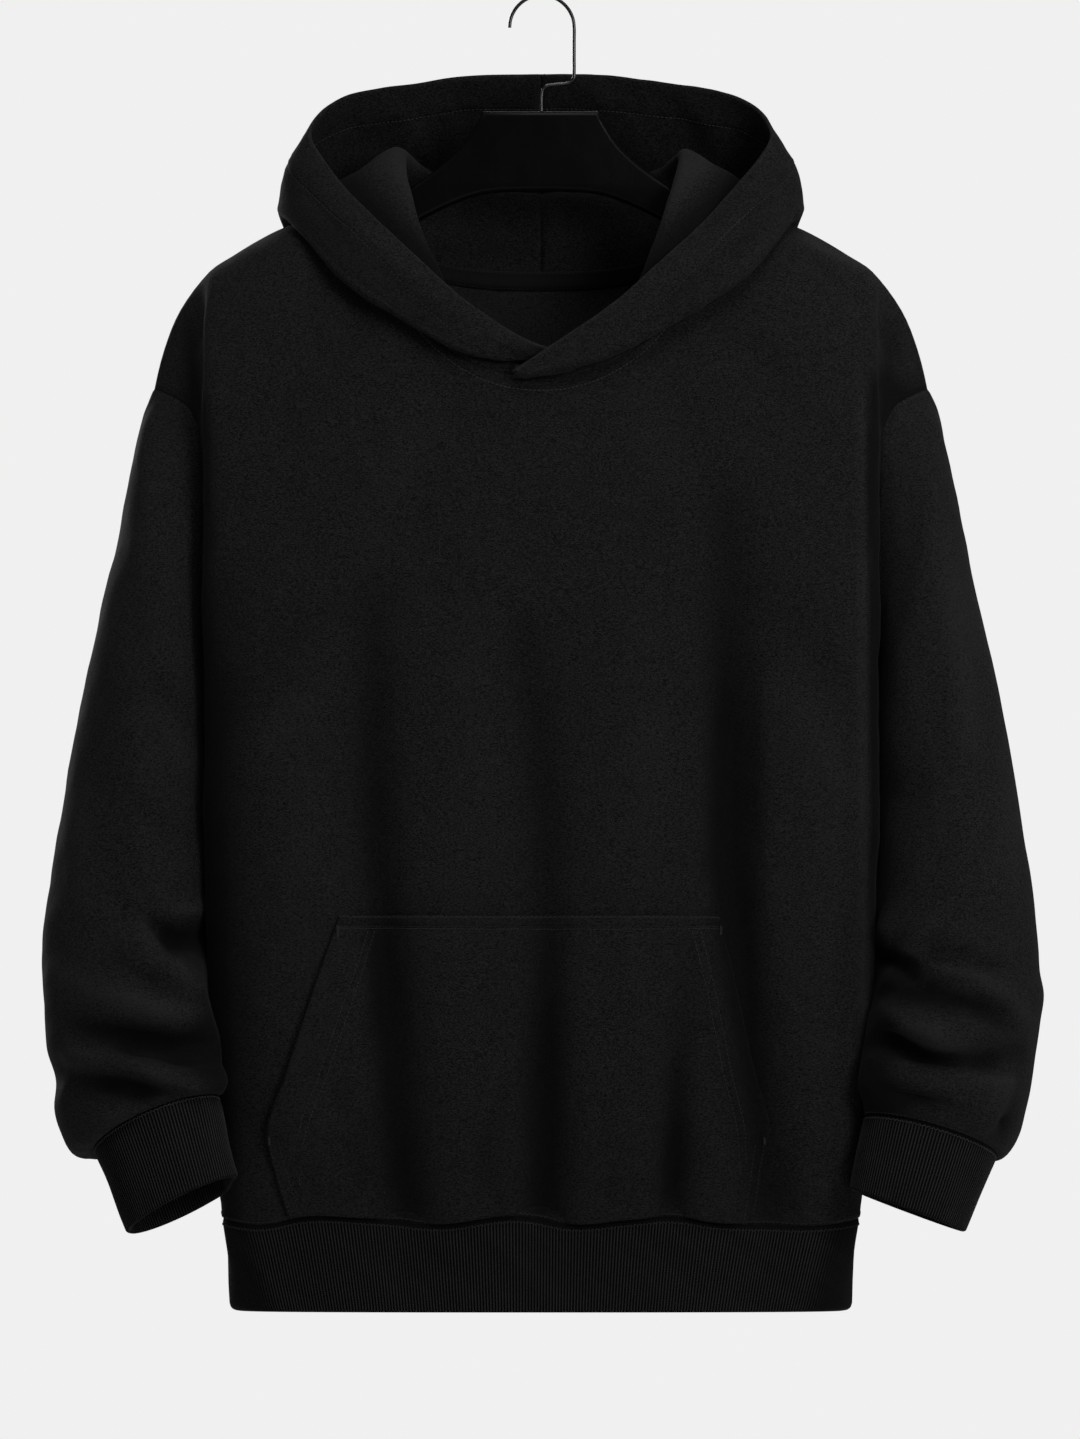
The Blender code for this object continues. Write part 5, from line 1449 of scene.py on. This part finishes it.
# %% Tree that raises the wales
rib_nodes, rib_inputs = new_geometry_tree(
    "raise_wales",
    {"Height": "NodeSocketFloat", "Finish": "NodeSocketMaterial"},
)
wale_count, keep = stored(rib_nodes, "wale", "FLOAT"), stored(rib_nodes, "keep", "FLOAT")
away = stored(rib_nodes, "away")
ridge = (wale_count * math.pi).maths("SINE").maths("ABSOLUTE")
lift = (ridge - 0.5) * keep * rib_inputs["Height"]
offset = rib_nodes.add("ShaderNodeVectorMath", {"operation": "SCALE"}, {0: away, "Scale": lift})
raised = rib_nodes.add("GeometryNodeSetPosition", (), {"Geometry": rib_inputs["Geometry"], "Offset": offset})
raised = rib_nodes.add("GeometryNodeRealizeInstances", (), {"Geometry": raised})
raised = rib_nodes.add("GeometryNodeSetMaterial", (), {"Geometry": raised, "Material": rib_inputs["Finish"]})
rib_nodes.add("NodeGroupOutput", (), {0: raised})
print("wale tree has", len(rib_nodes.tree.nodes), "nodes")

# %% Bands
RIB_PITCH, RIB_HEIGHT, BAND_HALF, WALE_POINTS = 2.05, 1.25, 1.25, 4
HEM_EDGE_DROP = 713.0
HEM_EDGE = {"half_width": 199.0, "front": 51.0, "back": 44.0, "power": 2.9, "sag": 5.0, "points": 96}


def round_line(points, count):
    """Points spaced evenly along a closed line."""
    closed = np.vstack((points, points[:1]))
    reach = run(closed, 0)
    return on_line(closed, reach, np.linspace(0, reach[-1], count, endpoint=False))


def length_round(points):
    return float(np.linalg.norm(np.roll(points, -1, axis=0) - points, axis=1).sum())


def hem_edge():
    points = []
    for j in range(HEM_EDGE["points"]):
        turn = 2 * math.pi * j / HEM_EDGE["points"]
        across, out = math.cos(turn), math.sin(turn)
        power = 2 / HEM_EDGE["power"]
        depth = HEM_EDGE["back"] if out > 0 else HEM_EDGE["front"]
        x = HEM_EDGE["half_width"] * math.copysign(abs(across) ** power, across)
        y = depth * math.copysign(abs(out) ** power, out)
        points.append(place(x, y, HEM_EDGE_DROP + HEM_EDGE["sag"] * (1 - abs(y) / depth)))
    return np.array(points)


def away_from(line, down):
    """The ways out of a closed line, square to it and to the way down."""
    tangent = unit(np.roll(line, -3, axis=0) - np.roll(line, 3, axis=0))
    away = unit(np.cross(tangent, down))
    return away * np.sign(np.sum(away * (line - line.mean(axis=0)), axis=1))[:, None]


def band(name, upper, lower, plain, sway, seed, corner=0.0):
    """A ribbed band between two closed lines with as many points, its lower edge a rounded fold."""
    count = len(upper)
    length = float(np.mean(np.linalg.norm(lower - upper, axis=1)))
    near_seam, near_fold = (0, 0.6, 1.4, 2.4, 4.0), length - np.array((2.6, 1.4, 0.7, 0.3, 0))
    shares = np.concatenate((near_seam, np.linspace(7, length - 5, 9), near_fold)) / length
    down = unit(lower.mean(axis=0) - upper.mean(axis=0))
    grid = np.array([mix(upper, lower, share) for share in shares])
    away, lower_away = away_from(upper, down), away_from(lower, down)
    normals = unit(np.array([mix(away, lower_away, share) for share in shares]))
    wave = sway * ripple(grid, 42, seed) * np.sin(np.pi * shares)[:, None] ** 0.7
    grid = grid + normals * wave[..., None]
    gap = np.broadcast_to((shares * length)[:, None], wave.shape)
    if corner:
        low = np.clip(corner - (length - gap), 0, corner)
        side_share = np.clip(np.abs(grid[..., 0]) / np.abs(grid[-1, :, 0]).max() * 5 - 4, 0, 1)
        grid[..., 0] -= np.sign(grid[..., 0]) * side_share * (corner - np.sqrt(corner**2 - low**2))
    half = np.minimum(BAND_HALF * (1 - 0.55 * fading(gap, 1.4)), rounded_edge(length - gap, BAND_HALF))
    out = normals * half[..., None]
    made = shell(name, grid + out, grid - out, closed=True, cloth=grid)
    wales = np.broadcast_to(np.arange(count) / WALE_POINTS, wave.shape)
    fade = np.clip((gap - 1.5) / 3, 0, 1) * np.clip((length - gap) / 1.2, 0.15, 1) * (1 - plain)[None, :]
    # Painted shade between the wales and a painted highlight on their tops, stored for the finish to read.
    wale_painted_shading = np.abs(np.sin(math.pi * wales)) * fade + (1 - fade) * 0.6
    for label, kind, values in (
        ("wale_painted_shading", "FLOAT", np.concatenate((wale_painted_shading.ravel(), wale_painted_shading.ravel()))),
        ("wale", "FLOAT", np.concatenate((wales.ravel(), wales.ravel()))),
        ("keep", "FLOAT", np.concatenate((fade.ravel(), 0.7 * fade.ravel()))),
        ("away", "FLOAT_VECTOR", np.concatenate((normals.reshape(-1, 3), -normals.reshape(-1, 3)))),
    ):
        holder = made.data.attributes.new(label, kind, "POINT")
        field = "vector" if kind == "FLOAT_VECTOR" else "value"
        holder.data.foreach_set(field, np.ascontiguousarray(values).ravel())
    finished = baked(name, made, rib_nodes.tree, {"Height": RIB_HEIGHT * MM, "Finish": rib})
    print(name, "has", count // WALE_POINTS, "wales and", len(finished.data.polygons), "faces")
    return finished, {"grid": grid, "normals": normals, "half": half + RIB_HEIGHT / 2, "closed": True}


# %% Hem band and cuffs
foot = np.vstack((back["grid"][-1][::-1], front["grid"][-1][1:-1]))
wales = round(length_round(foot) / RIB_PITCH)
hem_upper = round_line(foot, wales * WALE_POINTS)
hem_lower = round_line(hem_edge(), 4 * len(hem_upper))
start = int(np.argmin(np.linalg.norm((hem_lower - hem_upper[0]) * (1, 1, 0), axis=1)))
hem_lower = round_line(np.roll(hem_lower, -start, axis=0), len(hem_upper))
plain_corners = rising(np.abs(hem_upper[:, 0]), 178, 14) * 0.85
cloth["hem_band"], hem_sheet = band("hem_band_rib", hem_upper, hem_lower, plain_corners, 0.35, 81, 5.0)
# Side, sleeve, length, how much narrower the edge is, and in degrees the lean and the tip of the edge.
CUFFS = {
    "cuff_right": (-1, right_sleeve, 56.0, 0.87, (20.0, 20.0), (5.0, 5.0)),
    "cuff_left": (1, left_sleeve, 50.0, 0.85, (19.0, 14.0), (5.0, 9.0)),
}
cuff_sheets = {}
for name, (side, sleeve, length, narrow, lean, tip) in CUFFS.items():
    seam = sleeve["grid"][-1]
    upper = round_line(seam, round(length_round(seam) / RIB_PITCH) * WALE_POINTS)
    inward, forward = (math.tan(math.radians(angle)) for angle in lean)
    axis = unit(np.array((-side * inward, -forward, -1)))
    centre = upper.mean(axis=0)
    away = (upper - centre) * narrow
    rolled, pitched = (math.tan(math.radians(angle)) for angle in tip)
    away[:, 2] += away[:, 1] * pitched - side * away[:, 0] * rolled
    lower = centre + away + axis * length
    cloth[name], cuff_sheets[name] = band(f"{name}_rib", upper, lower, np.zeros(len(upper)), 0.4, 91 + side)
print("hem band:", round(length_round(hem_lower)), "mm round its edge")

# %% [markdown]
# ## Hanger
# The hanger is one moulding: a flat outline with rounded rims, thicker than cloth. A 2-D curve with a bevel
# gives exactly that, and more bevel steps make its rims soft. The hook is a bent wire, so it is a curve
# with a round section.

# %% Hanger body
ARM_TOP = table("x gap", (0, 3.5), (105, 3.5), (170, 4.5), (200, 7.5))
ARM_HEIGHT, ARM_THICKNESS, ARM_EDGE = 26.0, 10.0, 3.4
ARM_TIP = (214.0, 68.0)
PLATE = ((0, -55), (37, -55), (41, -48), (50, -34), (62, -22), (81, -8))
ARCH = ((79, 16), (57, 5), (38, -1.5), (14, -3.5), (0, -3.5))
WIRE, HOOK_RADIUS, HOOK_CENTRE_X = 2.2, 20.8, 0.6


def curve_piece(name, points, finish, settings, closed=False, turn=0.0):
    """A curve through points in metres, turned about x, as a plain mesh object at the origin."""
    curve = bpy.data.curves.new(name, "CURVE")
    for setting, value in settings.items():
        setattr(curve, setting, value)
    line = curve.splines.new("POLY")
    line.points.add(len(points) - 1)
    for point, at in zip(line.points, points):
        point.co = (*at, 1)
    line.use_cyclic_u = closed
    made = linked(name, curve)
    made.rotation_euler = (turn, 0, 0)
    bpy.context.view_layer.update()
    graph = bpy.context.evaluated_depsgraph_get()
    mesh = bpy.data.meshes.new_from_object(made.evaluated_get(graph), depsgraph=graph)
    mesh.transform(made.matrix_world)
    shape = bmesh.new()
    shape.from_mesh(mesh)
    bmesh.ops.remove_doubles(shape, verts=shape.verts, dist=1e-6)
    bmesh.ops.recalc_face_normals(shape, faces=shape.faces)
    shape.to_mesh(mesh)
    shape.free()
    finished = linked(made.name, mesh)
    bpy.data.objects.remove(made)
    mesh.materials.clear()
    mesh.materials.append(finish)
    mesh.shade_smooth()
    mesh.set_sharp_from_angle(angle=math.radians(48))
    return finished


top = [(x, float(read(SHOULDER, "drop", x) + read(ARM_TOP, "gap", x))) for x in range(95, 201, 15)]
foot_line = [(x, drop + ARM_HEIGHT) for x, drop in top[::-1]]
half_outline = np.array([*PLATE[1:], *top, ARM_TIP, *foot_line, *ARCH], float)
smooth_half = np.vstack((half_outline[:1], smooth_line(half_outline[1:], [even(4)] * (len(half_outline) - 2))))
outline = np.vstack((smooth_half, (smooth_half * (-1, 1))[-2::-1]))
flat = [(x * MM, (SHOULDER_POINT_Z - drop) * MM, 0) for x, drop in outline]
moulded = {
    "dimensions": "2D", "fill_mode": "BOTH", "extrude": (ARM_THICKNESS / 2 - ARM_EDGE) * MM,
    "bevel_depth": ARM_EDGE * MM, "offset": -ARM_EDGE * MM, "bevel_resolution": 4,
}  # fmt: skip
hanger = curve_piece("suit_hanger_body", flat, plastic, moulded, closed=True, turn=math.radians(90))
print("hanger body:", len(hanger.data.polygons), "faces")

# %% Hook
right = HOOK_CENTRE_X + HOOK_RADIUS
centre_z = WIRE / 2 - HOOK_RADIUS
path = []
for step in range(13):
    angle = math.pi * (1 - step / 12)
    path.append((HOOK_CENTRE_X + HOOK_RADIUS * math.cos(angle), centre_z + HOOK_RADIUS * math.sin(angle)))
path += [(right, -30), (right, -40), (right, -48), (right - 0.4, -52.5), (right - 3.4, -55.4)]
path += [(9, -56.6), (3.4, -57.6), (0.9, -60.4), (0.3, -66), (0.3, SHOULDER_POINT_Z - PLATE[0][1] + SEAM_GAP)]
bent = smooth_line(np.array(path), [even(5)] * (len(path) - 1))
bent = [(x * MM, 0, z * MM) for x, z in bent]
wire = {"dimensions": "3D", "bevel_depth": WIRE / 2 * MM, "bevel_resolution": 5, "use_fill_caps": True}
hook = curve_piece("wire_hook", bent, steel, wire)
print("hook:", len(hook.data.polygons), "faces")

# %% [markdown]
# ## Stitches
# Seams on such a hoodie are topstitched with two rows, and hems are held by a row a little way in. A stitch
# is a short fat oval of thread that lies along the seam. Geometry Nodes put one on each point of a row and
# turn it with two directions stored on the point, so a row is only a line of points.

# %% Tree that lays stitches
stitch_nodes, stitch_inputs = new_geometry_tree(
    "lay_stitches",
    {"Length": "NodeSocketFloat", "Thickness": "NodeSocketFloat", "Finish": "NodeSocketMaterial"},
)
ball = stitch_nodes.add("GeometryNodeMeshUVSphere", (), {"Segments": 6, "Rings": 4, "Radius": 0.5})
way, up = stored(stitch_nodes, "way"), stored(stitch_nodes, "up")
turn = stitch_nodes.add("FunctionNodeAxesToRotation", {"primary_axis": "X", "secondary_axis": "Z"}, (way, up))
size = stitch_nodes.add(
    "ShaderNodeCombineXYZ",
    (),
    (stitch_inputs["Length"], stitch_inputs["Thickness"], stitch_inputs["Thickness"]),
)
sockets = {"Points": stitch_inputs["Geometry"], "Instance": ball, "Rotation": turn, "Scale": size}
laid = stitch_nodes.add("GeometryNodeInstanceOnPoints", (), sockets)
laid = stitch_nodes.add("GeometryNodeRealizeInstances", (), {"Geometry": laid})
laid = stitch_nodes.add("GeometryNodeSetShadeSmooth", (), {"Geometry": laid})
laid = stitch_nodes.add("GeometryNodeSetMaterial", (), {"Geometry": laid, "Material": stitch_inputs["Finish"]})
stitch_nodes.add("NodeGroupOutput", (), {0: laid})
print("stitch tree has", len(stitch_nodes.tree.nodes), "nodes")


# %% Rows of stitches
def inset(sheet, edge, distance, face=1):
    """The line on a sheet's outer (1) or inner (-1) face that runs at a distance inside one edge."""
    grid, normals, half = sheet["grid"], sheet["normals"], sheet["half"]
    if edge in ("first", "last"):
        grid, normals, half = grid.swapaxes(0, 1), normals.swapaxes(0, 1), half.swapaxes(0, 1)
    if edge in ("foot", "last"):
        grid, normals, half = grid[::-1], normals[::-1], half[::-1]
    down = run(grid, 0)
    points, ups = [], []
    for k in range(grid.shape[1]):
        at = np.array([min(distance, down[-1, k] * 0.9)])
        normal = unit(on_line(normals[:, k], down[:, k], at))
        stand = np.interp(at, down[:, k], half[:, k])
        points.append(on_line(grid[:, k], down[:, k], at)[0] + face * normal[0] * stand)
        ups.append(normal[0] * face)
    return np.array(points), np.array(ups)


def row_of(line, pitch, start=0.0, end=1.0, closed=False, lift=0.0, zigzag=0.0):
    """Evenly spaced points of a line with the way that each stitch lies and its up side."""
    points, ups = line
    if closed:
        points, ups = np.vstack((points, points[:1])), np.vstack((ups, ups[:1]))
    reach = run(points, 0)
    at = np.arange(reach[-1] * start + pitch / 2, reach[-1] * end, pitch)
    here, up = on_line(points, reach, at), unit(on_line(ups, reach, at))
    ahead = unit(on_line(points, reach, at + pitch / 2) - on_line(points, reach, at - pitch / 2))
    if zigzag:
        ahead = unit(ahead + np.cross(up, ahead) * zigzag * np.where(np.arange(len(at)) % 2, 1, -1)[:, None])
    return here + up * lift, ahead, up


STITCH_LENGTH, THREAD, THICK_THREAD = 2.2, 0.52, 0.64


def lay(name, rows, finish, thickness):
    """One piece made of all the stitches of some rows."""
    points = np.concatenate([row[0] for row in rows])
    mesh = bpy.data.meshes.new(name)
    mesh.from_pydata((points * MM).tolist(), [], [])
    for label, part in (("way", 1), ("up", 2)):
        values = np.concatenate([row[part] for row in rows])
        mesh.attributes.new(label, "FLOAT_VECTOR", "POINT").data.foreach_set("vector", values.ravel())
    values = {"Length": STITCH_LENGTH * MM, "Thickness": thickness * MM, "Finish": finish}
    finished = baked(name, linked(name, mesh), stitch_nodes.tree, values)
    print(name, "has", len(points), "stitches")
    return finished


def part_of(line, keep):
    return line[0][keep], line[1][keep]


# %% Lay them
threads = []
neck = []
for panel in (front, back):
    wide = np.abs(column_places - SEAM_COLUMN) <= NECK_COLUMNS + 0.2
    neck.append(row_of(part_of(inset(panel, "top", 8.6), wide), 2.7, lift=0.05))
threads.append(("stitches_neck", neck, thread_painted_sheen))
arm = [row_of(inset(sleeve, "top", 1.7), 3.0, closed=True, lift=-0.12) for sleeve in (right_sleeve, left_sleeve)]
threads.append(("stitches_armholes", arm, thread))
hood_rows, hood_inside = [], []
for hood in (hood_left, hood_right):
    hood_rows.append(row_of(inset(hood, "foot", HOOD_HEM), 2.7, lift=-0.1))
    hood_inside.append(row_of(inset(hood, "foot", HOOD_HEM, face=-1), 2.7, lift=0.12))
    hood_rows.append(row_of(inset(hood, "first", 2.2), 2.7, lift=-0.1))
threads.append(("stitches_hood", hood_rows, thread_painted_lighter))
threads.append(("stitches_hood_inside", hood_inside, thread_painted_sheen))
hem = []
for panel in (front, back):
    hem.append(row_of(inset(panel, "foot", 2.3), 1.5, zigzag=0.9, lift=-0.1))
hem.append(row_of(inset(hem_sheet, "top", 3.4), 1.5, closed=True, zigzag=1.1, lift=-0.3))
threads.append(("stitches_hem", hem, thread_painted_lighter))
wrists = []
for name, sleeve in (("cuff_right", right_sleeve), ("cuff_left", left_sleeve)):
    wrists.append(row_of(inset(sleeve, "foot", 2.1), 1.5, closed=True, zigzag=0.9, lift=-0.1))
    wrists.append(row_of(inset(cuff_sheets[name], "top", 2.8), 1.5, closed=True, zigzag=1.1, lift=-0.3))
threads.append(("stitches_cuffs", wrists, thread_painted_sheen))
sides = [row_of(inset(panel, edge, 1.8), 3.0, 0.45, 1.0) for panel in (front, back) for edge in ("first", "last")]
threads.append(("stitches_sides", sides, thread))

# %% Pocket and tape stitches
drops = drop_of(pocket["grid"][:, 0])
open_rows, sewn_rows = (drops > POCKET_TOP + 8) & (drops < POCKET_CORNER), drops > POCKET_CORNER
sewing = [row_of(inset(pocket, "top", 1.1), 1.5, zigzag=0.8, lift=-0.1)]
long_rows = (drops > POCKET_TOP + 8) & (drops < POCKET_CORNER + 32)
lean = rising(drops, POCKET_CORNER - 6, 40)[:, None]
for edge, distance in (("first", 22.0), ("last", 17.5)):
    for apart in (0, 5.0):
        far, close = inset(pocket, edge, distance + apart), inset(pocket, edge, 8.6 + 0.8 * apart)
        leant = tuple(mix(a, b, lean) for a, b in zip(far, close))
        sewing.append(row_of(part_of(leant, long_rows), 2.8))
    sewing += [row_of(part_of(inset(pocket, edge, gap), sewn_rows), 2.8, lift=-0.1) for gap in (1.8, POCKET_SEWN)]
threads.append(("stitches_pocket", sewing, thread_painted_lighter))
top_row = row_of(inset(pocket, "top", POCKET_HEM), 2.2, lift=-0.1)
under_row = row_of(inset(pocket, "top", 8.8), 2.2)
sewing = []
for row, edge in ((0, "first"), (0, "last"), (-1, "first"), (-1, "last")):
    line = part_of(inset(pocket, edge, 2.0), open_rows)
    centre, up = line[0][row], line[1][row]
    across = unit(np.cross(up, (0, 0, 1.0)))
    for step in np.arange(-3.6, 3.7, 0.5):
        sewing.append((centre[None] + np.array([[0, 0, step]]) + up * 0.15, across[None], up[None]))
threads.append(("stitches_pocket_ends", sewing, thread_painted_lighter))
threads.append(("stitches_pocket_top", [top_row], thread))
threads.append(("stitches_pocket_under", [under_row], thread_painted_lighter))
taped = [row_of(inset(tape, edge, 1.3, face=-1), 2.6, lift=-0.1) for edge in ("top", "foot")]
threads.append(("stitches_tape", taped, thread))
stitch_pieces = [lay(*row, THICK_THREAD if "inside" in row[0] else THREAD) for row in threads]

# %% [markdown]
# ## Putting it together
# Each piece is given its finish, rides on the hoodie's one body and stands for the plain solid of the same
# cut piece.

# %% Finishes and bodies
SLOTS = {"hem_band": "rib", "cuff_left": "rib", "cuff_right": "rib", "neck_tape": "tape"}
FINISH = {"fleece": fleece, "rib": rib, "tape": twill}
for node, piece in cloth.items():
    slot = SLOTS.get(node, "fleece")
    piece.data.materials.clear()
    piece.data.materials.append(FINISH[slot])
    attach(piece, "root")
    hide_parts(node)
for piece in stitch_pieces:
    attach(piece, "root")
for piece, node, slot in ((hanger, "hanger_body", "hanger_plastic"), (hook, "hanger_hook", "hook_wire")):
    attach(piece, "root")
    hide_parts(node)


# %% [markdown]
# ## Light, floor and camera
# Black cloth shows only what it reflects. A dim even room keeps its shadows dark. Large soft panels before
# and above the hoodie draw its folds, weak ones below and at both sides lift the sleeves, and two behind
# light its back.

# %% World and floor
scene = bpy.context.scene
scene.view_settings.view_transform = "Standard"
world = bpy.data.worlds.new("pale_studio")
scene.world = world
world.use_nodes = True
world.node_tree.nodes.clear()
sky = Nodes(world.node_tree)
PALE = 0.8714
seen = sky.add("ShaderNodeBackground", (), {"Color": (PALE, PALE, PALE, 1), "Strength": 1.0})
lit = sky.add("ShaderNodeBackground", (), {"Color": (0.96, 0.98, 1.0, 1), "Strength": 0.04})
camera_ray = sky.add("ShaderNodeLightPath")
both = sky.add("ShaderNodeMixShader", (), (camera_ray, lit, seen))
sky.add("ShaderNodeOutputWorld", (), {"Surface": both})
FLOOR_Z, FLOOR_HALF = -1.75, 4.0
floor_mesh = bpy.data.meshes.new("floor")
floor_corners = [(x * FLOOR_HALF, y * FLOOR_HALF, FLOOR_Z) for x, y in ((-1, -1), (1, -1), (1, 1), (-1, 1))]
floor_mesh.from_pydata(floor_corners, [], [(0, 1, 2, 3)])
floor = linked("floor", floor_mesh)
floor_material, nodes = new_material("pale_floor")
speckle = noise(nodes, own_place(nodes), 40, 3, 0.5)
tone = colours(nodes, speckle, (0.70, 0.70, 0.70), (0.74, 0.74, 0.74))
plain = {"Base Color": tone, "Roughness": 0.8}
glowing = {**plain, "Emission Color": (0.62, 0.62, 0.62, 1), "Emission Strength": 1.0}
matt, glow = (nodes.add("ShaderNodeBsdfPrincipled", (), sockets) for sockets in (plain, glowing))
shown = nodes.add("ShaderNodeMixShader", (), (nodes.add("ShaderNodeLightPath"), matt, glow))
nodes.add("ShaderNodeOutputMaterial", (), {"Surface": shown})
floor_mesh.materials.append(floor_material)


# %% Lights and camera
AIM = (0, 0, -0.45)


def soft_light(name, at, width, height, watts):
    data = bpy.data.lights.new(name, "AREA")
    data.shape, data.size, data.size_y, data.energy = "RECTANGLE", width, height, watts
    made = linked(name, data)
    made.location = at
    made.rotation_euler = (Vector(AIM) - Vector(at)).to_track_quat("-Z", "Y").to_euler()


for light in (
    ("key_panel", (1.7, -2.5, 0.4), 1.0, 1.4, 29),
    ("high_panel", (0.4, -2.0, 2.2), 1.8, 1.2, 21.5),
    ("top_panel", (0, -0.7, 1.7), 2.0, 1.2, 7.5),
    ("low_panel", (0.8, -2.8, -1.3), 1.2, 0.8, 1.3),
    ("left_panel", (-2.4, -0.3, -0.1), 1.0, 2.0, 4.8),
    ("right_panel", (2.4, -0.1, -0.1), 1.0, 2.0, 7.5),
    ("back_key_panel", (-1.7, 2.5, 0.5), 1.0, 1.4, 33),
    ("back_high_panel", (0.2, 2.2, 2.0), 1.8, 1.2, 20),
):
    soft_light(*light)
CAMERA_AWAY, PIXEL_MM, FRAME_HEIGHT, SENSOR = 3000.0, 0.645, 1439, 36.0
camera_data = bpy.data.cameras.new("camera")
camera_data.sensor_fit = "VERTICAL"
camera_data.sensor_height = SENSOR
camera_data.lens = SENSOR * CAMERA_AWAY / (FRAME_HEIGHT * PIXEL_MM)
camera = linked("camera", camera_data)
camera.location = (-0.0006, -CAMERA_AWAY * MM, -0.466)
camera.rotation_euler = (math.radians(90), 0, 0)
scene.camera = camera
print("lens", round(camera_data.lens, 1), "mm")
